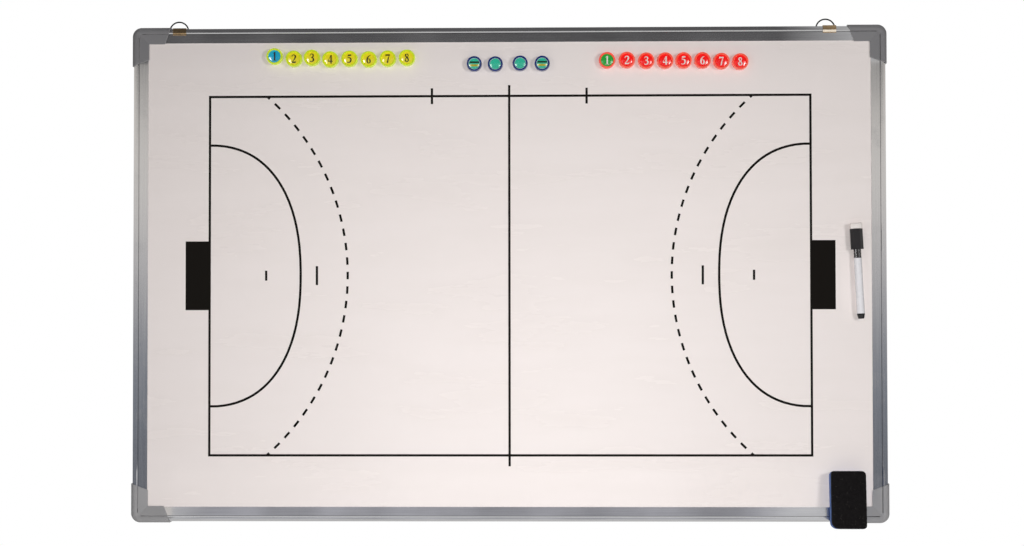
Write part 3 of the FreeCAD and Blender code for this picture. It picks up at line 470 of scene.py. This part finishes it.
def studio_paint(add, place, shades, ends, cloud_width):
    # Matt paint on the studio's wall and cards, which only metal and gloss mirror: each height has its own
    # shade, clouded by what stands in the room, and a card grows paler off its middle. Ends gives
    # the middle, where that starts and stops, and how pale it gets.
    middle, pale_from, pale_to, paleness = ends
    spot = add("SeparateXYZ", {"Vector": place}).outputs
    foot, top = shades[0][0], shades[-1][0]
    rise = add("MapRange", {"Value": spot["Z"], "From Min": foot, "From Max": top})
    ramp = add("ValToRGB", {"Fac": rise})
    stops = ramp.color_ramp.elements
    for height, shade in shades[1:-1]:
        stops.new((height - foot) / (top - foot)).color = linear(shade)
    stops[0].color = linear(shades[0][1])
    stops[-1].color = linear(shades[-1][1])
    from_middle = add("Math", {"operation": "SUBTRACT", 0: spot["X"], 1: middle})
    off_middle = add("Math", {"operation": "ABSOLUTE", 0: from_middle})
    pale = add("MapRange", {
        "Value": off_middle, "From Min": pale_from, "From Max": pale_to, "To Max": paleness})
    tone = add("Mix", {"data_type": "RGBA", SHARE: pale, FIRST: ramp, SECOND: WHITE})
    clouds = add("TexNoise", {"Vector": place, "Scale": per_metre(cloud_width), "Detail": 3.0})
    clouded = add("MapRange", {
        "Value": clouds, "From Min": 0.3, "From Max": 0.7, "To Min": 0.8, "To Max": 1.2})
    return add("Emission", {"Color": tone, "Strength": clouded})


def skin(form, rows, closed=False):
    """Faces between neighbouring rows of points, right round them where they are closed."""
    for row, after in zip(rows, rows[1:]):
        for step in range(len(row) if closed else len(row) - 1):
            following = (step + 1) % len(row)
            form.faces.new([row[step], row[following], after[following], after[step]])


def curved_wall_form(distance, reach, low, high, steps=52):
    """A strip of wall that stands in an arc round the board's front."""
    form = bmesh.new()
    turns = [reach * (2 * step / steps - 1) for step in range(steps + 1)]
    arc = [(distance * math.sin(turn), -distance * math.cos(turn)) for turn in turns]
    skin(form, [[form.verts.new((*spot, height)) for spot in arc] for height in (low, high)])
    return form


def card_form(reach, bends):
    """A level card, bent along lines at these depths and heights."""
    form = bmesh.new()
    skin(form, [[form.verts.new((side, *bend)) for side in (-reach, reach)] for bend in bends])
    return form


def polished_group():
    """The group of polished pieces, which the tall strips light."""
    return bpy.data.collections.get("polished_pieces") or bpy.data.collections.new("polished_pieces")


def finish_solids(material, *nodes):
    """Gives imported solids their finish."""
    for name in nodes:
        solid = frame["nodes"][name]
        solid.data.materials.clear()
        solid.data.materials.append(material)


def new_object(name, form, finish):
    """Makes a form into an object with a finish."""
    mesh = bpy.data.meshes.new(name)
    form.to_mesh(mesh)
    form.free()
    mesh.materials.append(finish)
    made = bpy.data.objects.new(name, mesh)
    bpy.context.scene.collection.objects.link(made)
    return made


def make_piece(name, form, finish, place, body, stands_for):
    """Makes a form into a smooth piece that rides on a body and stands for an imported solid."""
    bmesh.ops.recalc_face_normals(form, faces=form.faces)
    piece = new_object(name, form, finish)
    piece.data.shade_smooth()
    piece.data.set_sharp_from_angle(angle=math.radians(40))
    piece.matrix_world = place
    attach(piece, body)
    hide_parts(stands_for)
    return piece


def soften(piece, width, segments=3):
    """Rounds the piece's sharp edges."""
    bevel = piece.modifiers.new("softened_edges", "BEVEL")
    bevel.width = width
    bevel.segments = segments
    bevel.limit_method = "ANGLE"
    bevel.angle_limit = math.radians(35)
    bevel.harden_normals = False


def turned_form(profile, segments=72):
    """Turns a profile of radius and height about its axis. One that starts off the axis is closed."""
    form = bmesh.new()
    rings = []
    for radius, height in profile:
        turns = [2 * math.pi * step / segments for step in range(segments)] if radius > 0 else [0.0]
        rings.append([form.verts.new((radius * math.cos(t), radius * math.sin(t), height)) for t in turns])
    following = rings[1:] + rings[:1] if profile[0][0] > 0 else rings[1:]
    for ring, after in zip(rings, following):
        for step in range(segments):
            corners = [ring[step % len(ring)], ring[(step + 1) % len(ring)],
                       after[(step + 1) % len(after)], after[step % len(after)]]
            corners = list(dict.fromkeys(corners))
            if len(corners) > 2:
                form.faces.new(corners)
    return form


# Pen strokes of the printed figures: points across, up and stroke width, in hundredths of a figure's height.
FIGURE_STROKES = {
    1: [[(30, 100, 17), (30, 2, 17)], [(31, 95, 10), (20, 88, 7), (7, 82, 4)], [(6, 3, 6), (54, 3, 6)]],
    2: [[(6, 72, 5), (10, 85, 9), (27, 95, 9), (43, 87, 14), (46, 70, 17), (38, 50, 13), (22, 28, 8),
         (6, 10, 5)], [(5, 8, 16), (30, 8, 16), (50, 9, 15)], [(49, 6, 6), (56, 25, 3)]],
    3: [[(6, 77, 5), (14, 91, 7), (27, 95, 9), (41, 88, 14), (43, 74, 15), (35, 60, 11), (19, 53, 6)],
        [(19, 53, 6), (36, 50, 12), (46, 34, 18), (42, 15, 15), (25, 5, 9), (12, 7, 10), (5, 14, 9)]],
    4: [[(36, 100, 6), (18, 64, 5), (2, 32, 6)], [(0, 29, 12), (57, 29, 12)], [(38, 100, 16), (38, 0, 16)]],
    5: [[(13, 91, 16), (32, 91, 16), (50, 93, 15)], [(14, 97, 6), (10, 60, 6)],
        [(8, 58, 5), (24, 62, 10), (41, 53, 16), (45, 34, 18), (38, 14, 14), (21, 5, 9), (10, 8, 10),
         (4, 15, 8)]],
    6: [[(51, 98, 3), (30, 86, 10), (14, 63, 16), (10, 34, 18), (16, 13, 14), (30, 5, 9), (43, 14, 14),
         (46, 31, 16), (41, 48, 13), (29, 56, 8), (17, 51, 5), (11, 42, 4)]],
    7: [[(4, 91, 17), (30, 91, 17), (53, 92, 15)], [(5, 98, 5), (3, 74, 3)],
        [(51, 93, 5), (36, 55, 11), (24, 0, 17)]],
    8: [[(28, 95, 9), (14, 88, 13), (12, 75, 14), (20, 62, 14), (30, 52, 15), (41, 40, 15), (45, 23, 15),
         (40, 10, 12), (28, 5, 9), (14, 10, 13), (9, 24, 13), (15, 40, 9), (27, 50, 8), (39, 62, 8),
         (42, 76, 11), (38, 89, 11), (28, 95, 9)]],
}
figure_width = 0.56
stroke_steps = 7
dome_steps = 10
fibre_steps = 4


def drawn_stroke(points):
    """Points and widths along a smooth line through a stroke's points."""
    knots = [Vector([part / 100 for part in point]) for point in points]
    if len(knots) == 2:
        return knots
    spread = [knots[0], *knots, knots[-1]]
    line = []
    for before, start, end, after in zip(spread, spread[1:], spread[2:], spread[3:]):
        for step in range(stroke_steps):
            share = step / stroke_steps
            line.append(0.5 * (2 * start + (end - before) * share
                               + (2 * before - 5 * start + 4 * end - after) * share ** 2
                               + (3 * start - before - 3 * end + after) * share ** 3))
    return line + [spread[-1]]


def figure_form(figure, height, film):
    """A printed figure as a thin film of ink, its middle at the origin."""
    form = bmesh.new()
    middle = Vector((figure_width / 2, 0.5, 0.0))
    for stroke in FIGURE_STROKES[figure]:
        line = drawn_stroke(stroke)
        rows = []
        for step, point in enumerate(line):
            run = (line[min(step + 1, len(line) - 1)] - line[max(step - 1, 0)]).xy.normalized()
            across = Vector((-run.y, run.x, 0.0)) * point.z / 2
            centre = Vector((point.x, point.y, 0.0)) - middle
            edges = [(centre + across) * height, (centre - across) * height]
            raised = [edge + Vector((0.0, 0.0, film)) for edge in edges]
            rows.append([form.verts.new(corner) for corner in (edges[0], raised[0], raised[1], edges[1])])
        skin(form, rows)
        form.faces.new(rows[0])
        form.faces.new(rows[-1])
    return form


def banded_form(radius, low, high, film, steps=24):
    """A band of ink across a label, cut round by the label's edge."""
    form = bmesh.new()
    start, end = math.asin(low / radius), math.asin(high / radius)
    turns = [start + (end - start) * step / steps for step in range(steps + 1)]
    right = [(radius * math.cos(turn), radius * math.sin(turn)) for turn in turns]
    outline = right + [(-x, y) for x, y in reversed(right)]
    upper, lower = [[form.verts.new((x, y, height)) for x, y in outline] for height in (film, 0.0)]
    form.faces.new(upper)
    skin(form, [upper, lower], closed=True)
    return form


def inset_loop(corners, radii, inset, turn_steps, side_steps):
    """Points round a convex outline drawn in by an inset, its corners rounded and its sides divided."""
    count = len(corners)
    runs = [(corners[(i + 1) % count] - corners[i]).normalized() for i in range(count)]
    arcs = []
    for i in range(count):
        arriving, leaving = runs[i - 1], runs[i]
        bend = arriving.angle(leaving)
        into = (leaving - arriving).normalized()
        corner = corners[i] + into * inset / math.cos(bend / 2)
        radius = max(radii[i] - inset, radii[i] * 0.12)
        centre = corner + into * radius / math.cos(bend / 2)
        start = -Vector((-arriving.y, arriving.x)) * radius
        turns = [bend * step / turn_steps for step in range(turn_steps + 1)]
        arcs.append([centre + Matrix.Rotation(turn, 2) @ start for turn in turns])
    points = []
    for i, arc in enumerate(arcs):
        following = arcs[(i + 1) % count][0]
        points += arc
        points += [arc[-1].lerp(following, step / side_steps) for step in range(1, side_steps)]
    return points


def layered_form(corners, radii, levels, unevenness, turn_steps=6, side_steps=8):
    """A soft block built up from one outline by levels of inset, height and share of the dents."""
    form = bmesh.new()
    rings = []
    for inset, height, dents in levels:
        ring = []
        for point in inset_loop(corners, radii, inset, turn_steps, side_steps):
            dent = noise.noise(Vector((point.x, point.y, height)) * per_metre(9)) * unevenness * dents
            ring.append(form.verts.new((point.x, point.y, height + dent)))
        rings.append(ring)
    skin(form, rings, closed=True)
    form.faces.new(rings[0])
    form.faces.new(rings[-1])
    return form


def fibre_form(source, count, length, width, seed):
    """Loose fibres lying on the front and sides of a soft block, each a bent strip with a share of dust."""
    chance = random.Random(seed)
    form = bmesh.new()
    dust = form.verts.layers.float.new("dust")
    dusty_share = 0.035
    source.calc_loop_triangles()
    triangles = [t for t in source.loop_triangles if t.normal.z > -0.5]
    for triangle in chance.choices(triangles, [t.area for t in triangles], k=count):
        a, b, c = (source.vertices[index].co for index in triangle.vertices)
        u, v = sorted((chance.random(), chance.random()))
        root = a * u + b * (v - u) + c * (1 - v)
        normal = triangle.normal
        tangent = normal.orthogonal().normalized()
        tangent = Matrix.Rotation(chance.uniform(0, 2 * math.pi), 3, normal) @ tangent
        across = normal.cross(tangent)
        reach = length * chance.uniform(0.35, 1.0)
        bow = reach * chance.uniform(-0.3, 0.3)
        lift = min(reach * 0.16, width * 2.5) * chance.uniform(0.5, 1.2)
        pale = 1.0 if chance.random() < dusty_share else chance.uniform(0.0, 0.22)
        rows = []
        for step in range(fibre_steps + 1):
            share = step / fibre_steps
            swell = 4 * share * (1 - share)
            along = root + tangent * reach * (share - 0.5)
            point = along + across * bow * swell + normal * (lift * swell - width * 0.3)
            half = across * width * (0.5 - 0.35 * abs(share - 0.5))
            rows.append([form.verts.new(point - half), form.verts.new(point + half)])
        skin(form, rows)
        for vert in (vert for row in rows for vert in row):
            vert[dust] = pale
    return form


class TACTICS_OT_stage(Operator):
    """Set up the camera, floor, lamps and white surroundings"""
    bl_idname = "tactics_board.stage"
    bl_label = "Set the Stage"

    def execute(self, context):
        settings = context.scene.tactics_board.stage
        context.scene.view_settings.view_transform = "Standard"
        camera = bpy.data.objects.new("camera", bpy.data.cameras.new("camera"))
        camera.data.sensor_width = 36.0
        camera.data.lens = camera.data.sensor_width * settings.distance / settings.width
        camera.location = (settings.side, sheet_face - settings.distance, settings.height)
        camera.rotation_euler = (math.radians(90) + settings.tilt, settings.roll, settings.turn)
        context.scene.collection.objects.link(camera)
        context.scene.camera = camera
        self.backdrops(settings)
        self.lamps(context, settings)
        self.surroundings(context, settings.ambient)
        return {"FINISHED"}

    def backdrops(self, settings):
        """The floor, and the wall and cards that only metal and gloss mirror."""
        low, reach = -settings.floor_drop, FLOOR_REACH
        floor = bmesh.new()
        turns = [math.radians(5 * step) for step in range(72)]
        floor.faces.new([floor.verts.new((reach * math.cos(t), reach * math.sin(t), low)) for t in turns])
        self.backdrop("floor", floor, new_material("background_paper_matt", seamless_paper))
        wall = curved_wall_form(settings.wall_distance, math.radians(130), low, WALL_TOP)
        high_card = card_form(0.435, ((-0.06, 0.258), (-0.06, 0.42), (0.1, 0.42)))
        low_card = card_form(0.412, ((-0.06, -0.31), (-0.06, -0.238)))
        for name, form, shades, ends, cloud_width in (
                ("studio_wall", wall, WALL_SHADES, (0.0, 3.0, 4.0, 0.0), 90),
                ("high_card", high_card, CARD_SHADES, (-0.1, 0.43, 0.52, 0.55), 70),
                ("low_card", low_card, CARD_SHADES, (-0.0325, 0.33, 0.385, 0.6), 70)):
            paint = new_material(name + "_painted", studio_paint, shades, ends, cloud_width)
            mirrored = self.backdrop(name, form, paint)
            mirrored.visible_camera = mirrored.visible_diffuse = False
            mirrored.visible_shadow = mirrored.visible_transmission = False

    def backdrop(self, name, form, material):
        material.cycles.emission_sampling = "NONE"
        piece = new_object(name, form, material)
        return piece

    def lamps(self, context, settings):
        """The key lamp, softboxes and strips, each with its power, size, place and the height it aims at."""
        softbox, strip = (0.45, 0.45), (0.34, 0.9)
        key = self.lamp(context, "key_lamp", settings.key_power, (0.5, 0.5), (0.0, -0.9, -0.24), aim=-0.14)
        key.data.use_shadow = False
        self.lamp(context, "right_lamp", settings.right_power, softbox, (1.5, -2.0, 0.3))
        self.lamp(context, "left_lamp", settings.left_power, softbox, (-1.5, -2.0, 0.3))
        self.lamp(context, "rear_lamp", settings.rear_power, (1.2, 0.8), (0.3, 1.8, 0.5))
        for name, side in (("left_strip", -1.5), ("right_strip", 1.5)):
            lamp = self.lamp(context, name, settings.strip_power, strip, (side, -1.2, -0.25), aim=0.24)
            lamp.visible_diffuse = lamp.visible_transmission = False
            lamp.visible_glossy = True
            lamp.light_linking.receiver_collection = polished_group()

    def lamp(self, context, name, power, size, place, aim=0.0):
        lamp = bpy.data.objects.new(name, bpy.data.lights.new(name, "AREA"))
        lamp.data.shape = "RECTANGLE"
        lamp.data.size, lamp.data.size_y = size
        lamp.data.energy = power
        lamp.location = place
        lamp.rotation_euler = (Vector((0.0, 0.0, aim)) - Vector(place)).to_track_quat("-Z", "Y").to_euler()
        lamp.visible_camera = lamp.visible_glossy = False
        context.scene.collection.objects.link(lamp)
        return lamp

    def surroundings(self, context, ambient):
        """White wherever the world is looked at, and a faint even light from it."""
        world = bpy.data.worlds.new("white_surroundings")
        context.scene.world = world
        world.use_nodes = True
        world.node_tree.nodes.clear()
        add = partial(add_node, world.node_tree)
        light = add("Background", {"Color": WHITE, "Strength": ambient})
        seen = add("Background", {"Color": WHITE, "Strength": 1.0})
        both = add("MixShader", {0: looked_at(add), 1: light, 2: seen})
        add("OutputWorld", {"Surface": both})


class TACTICS_OT_panel(Operator):
    """Finish the writing sheet, the court print, the core and the back sheet"""
    bl_idname = "tactics_board.panel"
    bl_label = "Finish the Panel"

    def execute(self, context):
        settings = context.scene.tactics_board.panel
        for node, name, paint in (("writing_sheet", "lacquered_steel_roller_coated", lacquered_steel),
                                  ("court_print", "black_ink_screen_printed", screen_ink),
                                  ("core_panel", "soft_fibreboard_pressed", soft_fibreboard),
                                  ("back_sheet", "steel_hot_dip_galvanised", galvanised_steel)):
            finish_solids(new_material(name, paint, settings), node)
        return {"FINISHED"}


class TACTICS_OT_frame(Operator):
    """Finish the rails, corner caps and corner screws"""
    bl_idname = "tactics_board.frame"
    bl_label = "Finish the Frame"

    def execute(self, context):
        settings = context.scene.tactics_board.frame
        for run, stretch, rails in (("level", (0.012, 1.0, 1.0), ("rail_top", "rail_bottom")),
                                    ("upright", (1.0, 1.0, 0.012), ("rail_left", "rail_right"))):
            aluminium = new_material("aluminium_extruded_" + run, extruded_aluminium, settings, stretch)
            finish_solids(aluminium, *rails)
        # Painted shade in the caps' creases: fainter on the left caps, full on the right.
        for side, dirt_from, dirt_share in (("left", 0.86, 0.7), ("right", 0.95, 1.0)):
            name = "abs_moulded_grey_" + side
            plastic = new_material(name, moulded_cap_plastic, settings, dirt_from, dirt_share)
            finish_solids(plastic, "corner_cap_top_" + side, "corner_cap_bottom_" + side)
        zinc = new_material("steel_bright_zinc_plated", plated_steel, settings.screw, linear("#7f8286"),
                            linear("#c9ccd0"), shine=0.25, cloud_width=2.0)
        finish_solids(zinc, "corner_screws")
        return {"FINISHED"}


class TACTICS_OT_hangers(Operator):
    """Finish the hanger clips and rings"""
    bl_idname = "tactics_board.hangers"
    bl_label = "Finish the Hangers"

    def execute(self, context):
        settings = context.scene.tactics_board.frame
        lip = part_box("hanger_clip_left")[0].z
        # Only the right clip gets a painted highlight on its lip, in the pale edge colour.
        for side, bloom in (("left", NO_BLOOM), ("right", (lip + 0.0026, 0.0013))):
            strip = new_material("steel_strip_yellow_zinc_" + side, plated_steel, settings.clip,
                                 linear("#7c684e"), linear("#fff2df"), shine=0.1, cloud_width=3.0,
                                 bloom=bloom)
            finish_solids(strip, "hanger_clip_" + side)
        dull = linear("#1a191a")
        wire = new_material("steel_wire_nickel_plated", plated_steel, settings.ring, dull, dull, shine=0.15,
                            cloud_width=2.0)
        finish_solids(wire, "hanger_ring_left", "hanger_ring_right")
        return {"FINISHED"}


class TACTICS_OT_tokens(Operator):
    """Build the numbered tokens: cup, ferrite disc, printed label, figure and clear face"""
    bl_idname = "tactics_board.tokens"
    bl_label = "Build the Tokens"

    def execute(self, context):
        settings = self.settings = context.scene.tactics_board.tokens
        self.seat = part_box("token_yellow_1")[1].y
        self.shelf = settings.cup_height - settings.recess
        self.ferrite = new_material("ferrite_sintered", sintered_ferrite)
        self.face = new_material("acrylic_moulded_clear", clear_face_plastic)
        dark = new_material("ink_dark_on_label", printed_paper, settings.dark_ink)
        pale = new_material("ink_pale_on_label", printed_paper, settings.light_ink)
        yellow = new_material("polystyrene_fluorescent_yellow", dyed_cup_plastic, settings.yellow_cup,
                              clearness=0.2, glow=0.14)
        red = new_material("polystyrene_fluorescent_red", dyed_cup_plastic, settings.red_cup, clearness=0.2,
                           glow=0.1)
        blue = new_material("polystyrene_dark_blue", dyed_cup_plastic, settings.blue_cup, clearness=0.05,
                            glow=0.0)
        golden_paper = new_material("paper_printed_golden", printed_paper, settings.yellow_label, glow=0.18)
        red_paper = new_material("paper_printed_red", printed_paper, settings.red_label, glow=0.14)
        teal_paper = new_material("paper_printed_teal", printed_paper, settings.blue_label, glow=0.04)
        cyan = new_material("ink_cyan_on_label", printed_paper, settings.yellow_keeper, glow=0.08)
        green = new_material("ink_green_on_red_label", printed_paper, settings.red_keeper, glow=0.06)
        upper = new_material("ink_green_on_label", printed_paper, settings.band_dark)
        lower = new_material("ink_yellow_on_label", printed_paper, settings.band_light)
        # Painted highlight: a pale ring round each blue label's edge, where the clear face's edge catches
        # light.
        cut_paper = new_material("paper_cut_edge", printed_paper, linear("#cfe6ea"))
        teams = (("yellow", yellow, golden_paper, dark), ("red", red, red_paper, pale))
        figure_rise = self.shelf + (settings.label + settings.film * 0.8)
        for number in range(1, 9):
            for team, plastic, paper, ink in teams:
                node = f"token_{team}_{number}"
                self.token(node, plastic, paper)
                figure = figure_form(number, settings.figure_height, settings.film)
                self.part(node, "figure", figure, ink, figure_rise)
        for node, ink in (("token_yellow_1", cyan), ("token_red_1", green)):
            self.disc(node, 0.0, self.label_edge(node), ink)
        for number in range(1, 5):
            node = f"token_blue_{number}"
            self.token(node, blue, teal_paper)
            label_edge = self.label_edge(node)
            # The pale ring round the label is a painted highlight.
            self.disc(node, label_edge - 0.0005, label_edge, cut_paper)
            if number in (1, 4):
                self.bands(node, upper, lower)
        return {"FINISHED"}

    def radius(self, node):
        """Radius of a token: the numbered ones are alike, and so are the blue ones."""
        low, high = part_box("token_blue_1" if "blue" in node else "token_yellow_1")
        return (high.x - low.x) / 2

    def label_edge(self, node):
        """Radius of a label's print, a little short of the cup's rim."""
        return self.radius(node) - self.settings.rim - 0.0001

    def part(self, node, name, form, finish, rise=0.0, slot=None):
        """Makes a piece of a token on its axis, at a height above its seat, looking out of the board."""
        low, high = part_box(node)
        spot = Vector(((low.x + high.x) / 2, self.seat - rise, (low.z + high.z) / 2))
        place = Matrix.Translation(spot) @ Matrix.Rotation(math.radians(90), 4, "X")
        slot = slot or node.rpartition("_")[0]
        return make_piece(f"{node}_{name}", form, finish, place, node, node)

    def token(self, node, plastic, paper):
        """Builds a cup, its ferrite disc, its label and its clear face."""
        settings, shelf, radius = self.settings, self.shelf, self.radius(node)
        opening = radius - settings.rim
        pocket, pocket_top = settings.pocket, shelf / 2
        foot, well_edge = radius * 0.04, opening * 0.5
        top = shelf + settings.recess
        cup = turned_form([(pocket, 0.0), (radius - foot, 0.0), (radius, foot), (radius - foot, top),
                           (opening, top), (opening, shelf), (well_edge, shelf),
                           (well_edge, shelf - foot), (pocket, pocket_top)])
        soften(self.part(node, "cup", cup, plastic), radius * 0.055)
        disc_edge, disc_top = pocket - foot / 4, pocket_top * 0.98
        disc = turned_form([(0.0, 0.0), (disc_edge, 0.0), (disc_edge, disc_top), (0.0, disc_top)])
        soften(self.part(node, "ferrite", disc, self.ferrite, slot="ferrite"), radius * 0.03, segments=2)
        print_edge, print_top = opening - foot / 8, settings.label
        label = turned_form([(0.0, 0.0), (print_edge, 0.0), (print_edge, print_top), (0.0, print_top)])
        self.part(node, "label", label, paper, shelf)
        rise = settings.label + 2 * settings.film
        edge = settings.label + settings.face_edge
        bow = (print_edge ** 2 + settings.dome ** 2) / (2 * settings.dome)
        steepest = math.asin(print_edge / bow)
        turns = [steepest * (1 - step / dome_steps) for step in range(dome_steps)]
        dome = [(bow * math.sin(turn), edge + settings.dome - bow * (1 - math.cos(turn))) for turn in turns]
        face = turned_form([(0.0, rise), (print_edge, rise), *dome, (0.0, edge + settings.dome)])
        polished_group().objects.link(self.part(node, "face", face, self.face, shelf))

    def disc(self, node, inner, outer, ink):
        """Prints a disc or a ring on a label."""
        film = self.settings.film
        form = turned_form([(inner, 0.0), (outer, 0.0), (outer, film), (inner, film)])
        self.part(node, "disc", form, ink, self.shelf + self.settings.label)

    def bands(self, node, upper, lower):
        """Prints a dark and a light band on a label, from one share of its radius to another."""
        reach = self.radius(node) - self.settings.rim
        band_edge = reach * 0.86
        for name, low, high, ink in (("upper", 0.10, 0.42, upper), ("lower", -0.46, -0.10, lower)):
            form = banded_form(band_edge, reach * low, reach * high, self.settings.film)
            self.part(node, name + "_band", form, ink, self.shelf + self.settings.label)


class TACTICS_OT_marker(Operator):
    """Finish the marker and build the felt pad on its cap"""
    bl_idname = "tactics_board.marker"
    bl_label = "Finish the Marker"

    def execute(self, context):
        settings = context.scene.tactics_board.marker
        for name, colour, low_shine, high_shine, nodes in (
                ("polypropylene_moulded_black", settings.black, 0.3, 0.42, ("marker_cap",)),
                ("polypropylene_polished_black", settings.black, 0.12, 0.2,
                 ("marker_grip", "marker_end_plug")),
                ("polypropylene_moulded_white", settings.white, 0.22, 0.34, ("marker_barrel",))):
            finish_solids(new_material(name, moulded_pen_plastic, colour, low_shine, high_shine), *nodes)
        for name, fleck, node in (("fibre_nib_inked", "#26252b", "marker_nib"),
                                  ("fibre_rod_inked", "#3a3940", "marker_ink_reservoir")):
            finish_solids(new_material(name, pressed_felt, settings.nib, linear(fleck)), node)
        finish_solids(new_material("ferrite_sintered", sintered_ferrite), "marker_cap_magnet")
        polished_group().objects.link(frame["nodes"]["marker_grip"])

        # The mouth of the cap, on the axis of the pen, which leans by 3 degrees.
        mouth = Vector((0.4147, sheet_face - 0.00662, 0.0283))
        pen = Matrix.Translation(mouth) @ Matrix.Rotation(math.radians(-3), 4, "Y")
        outline = [Vector(point) for point in (
            (-0.006, -0.0065), (0.006, -0.0065), (0.0074, -0.0047), (0.0074, 0.0023),
            (0.0047, 0.0065), (-0.0047, 0.0065), (-0.0074, 0.0023), (-0.0074, -0.0047))]
        levels = [(0.0007, 0.02425, 0.0), (0.00045, 0.0252, 0.3), (0.0004, 0.0277, 0.4),
                  (0.0005, 0.0301, 0.5), (0.0009, 0.0309, 0.8), (0.0019, 0.0313, 1.0),
                  (0.0034, 0.0314, 1.0), (0.005, 0.0314, 1.0)]
        corner = 0.0016
        form = layered_form(outline, [corner] * len(outline), levels, unevenness=0.00025, turn_steps=3,
                            side_steps=3)
        felt = new_material("wool_felt_pressed_white", pressed_felt, settings.pad, linear("#e4dcd6"))
        pad = make_piece("marker_cap_pad", form, felt, pen, "marker_cap", "marker_cap_felt")
        pad.modifiers.new("soft_faces", "SUBSURF").render_levels = 2
        nap = fibre_form(pad.data, settings.fibres, settings.fibre, width=0.00009, seed=11)
        fibres = new_material("wool_fibres_white", loose_fibres, settings.pad, linear("#a8a098"))
        make_piece("marker_cap_pad_fibres", nap, fibres, pen, "marker_cap", "marker_cap_felt")
        return {"FINISHED"}


class TACTICS_OT_eraser(Operator):
    """Build the eraser's foam body and felt, and finish its magnets"""
    bl_idname = "tactics_board.eraser"
    bl_label = "Build the Eraser"

    def execute(self, context):
        settings = context.scene.tactics_board.eraser
        finish_solids(new_material("ferrite_sintered", sintered_ferrite), "eraser_magnets")
        half_width, half_height, corner = 0.021, 0.0342, 0.005
        body_depth, felt_depth = 0.014, 0.0065
        # The eraser's top lies on the sheet, and it leans out over the bottom rail's bead below its middle.
        bead_rise, bead_drop, clearance = 0.0058, 0.0226, 0.0003
        lean = math.atan2(bead_rise, half_height + bead_drop)
        back = sheet_face - clearance / math.cos(lean) - half_height * math.sin(lean)
        middle = Vector((0.4010, back, -0.2694))
        place = Matrix.Translation(middle) @ Matrix.Rotation(math.radians(90) - lean, 4, "X")
        outline = [Vector((side * half_width, rise * half_height))
                   for side, rise in ((-1, -1), (1, -1), (1, 1), (-1, 1))]

        levels = [(0.0040, 0.0002, 0.0), (0.0019, 0.0002, 0.0), (0.0008, 0.0007, 0.0), (0.0001, 0.0020, 0.0),
                  (0.0003, 0.0055, 0.4), (0.0005, 0.0080, 0.4), (0.0003, 0.0105, 0.4), (0.0001, 0.0132, 0.0),
                  (0.0004, 0.0139, 0.0), (0.0015, body_depth, 0.0), (0.0050, body_depth, 0.0)]
        radii = [corner * 1.7, corner, corner, corner]
        form = layered_form(outline, radii, levels, unevenness=0.0002)
        finish = new_material("eva_foam_cut", closed_cell_foam, settings)
        foam = make_piece("eraser_foam", form, finish, place, "eraser", "eraser_body")
        foam.modifiers.new("soft_faces", "SUBSURF").render_levels = 2

        front = body_depth + felt_depth
        levels = [(0.0030, body_depth, 0.0), (0.0010, body_depth + 0.0002, 0.0),
                  (0.0003, body_depth + 0.0012, 0.5), (0.0002, body_depth + 0.0032, 0.6),
                  (0.0003, front - 0.0016, 0.6), (0.0008, front - 0.0006, 0.8),
                  (0.0026, front - 0.0001, 1.0), (0.0050, front, 1.0), (0.0085, front + 0.0001, 1.0),
                  (0.0120, front, 1.0), (0.0160, front + 0.0001, 1.0), (0.0190, front, 1.0)]
        radii = [corner * 1.85, corner * 0.9, corner * 1.1, corner * 0.75]
        form = layered_form(outline, radii, levels, unevenness=0.0003, turn_steps=7, side_steps=16)
        felt = new_material("wool_felt_pressed_black", pressed_felt, settings.felt, linear("#1b191a"))
        face = make_piece("eraser_felt_face", form, felt, place, "eraser", "eraser_felt")
        face.modifiers.new("soft_faces", "SUBSURF").render_levels = 2
        nap = fibre_form(face.data, settings.fibres, settings.fibre, width=0.00013, seed=23)
        fibres = new_material("wool_fibres_black", loose_fibres, settings.felt, settings.lint)
        make_piece("eraser_felt_fibres", nap, fibres, place, "eraser", "eraser_felt")
        return {"FINISHED"}


class TACTICS_PT_board(Panel):
    """Settings and steps of the tactics board"""
    bl_idname = "TACTICS_PT_board"
    bl_label = "Tactics Board"
    bl_space_type = "VIEW_3D"
    bl_region_type = "UI"
    bl_category = "Tactics Board"

    def draw(self, context):
        for step in STEPS:
            self.layout.operator(step.bl_idname)
        for section in BoardSettings.__annotations__:
            group = getattr(context.scene.tactics_board, section)
            box = self.layout.box()
            for name in group.__annotations__:
                box.prop(group, name)


STEPS = (TACTICS_OT_stage, TACTICS_OT_panel, TACTICS_OT_frame, TACTICS_OT_hangers, TACTICS_OT_tokens,
         TACTICS_OT_marker, TACTICS_OT_eraser)
CLASSES = (StageSettings, PanelSettings, FrameSettings, TokenSettings, MarkerSettings, EraserSettings,
           BoardSettings, *STEPS, TACTICS_PT_board)


def register():
    for kind in CLASSES:
        bpy.utils.register_class(kind)
    bpy.types.Scene.tactics_board = PointerProperty(type=BoardSettings)


def unregister():
    del bpy.types.Scene.tactics_board
    for kind in reversed(CLASSES):
        bpy.utils.unregister_class(kind)


def main():
    register()
    bpy.ops.tactics_board.stage()
    bpy.ops.tactics_board.panel()
    bpy.ops.tactics_board.frame()
    bpy.ops.tactics_board.hangers()
    bpy.ops.tactics_board.tokens()
    bpy.ops.tactics_board.marker()
    bpy.ops.tactics_board.eraser()


if __name__ == "__main__":
    main()
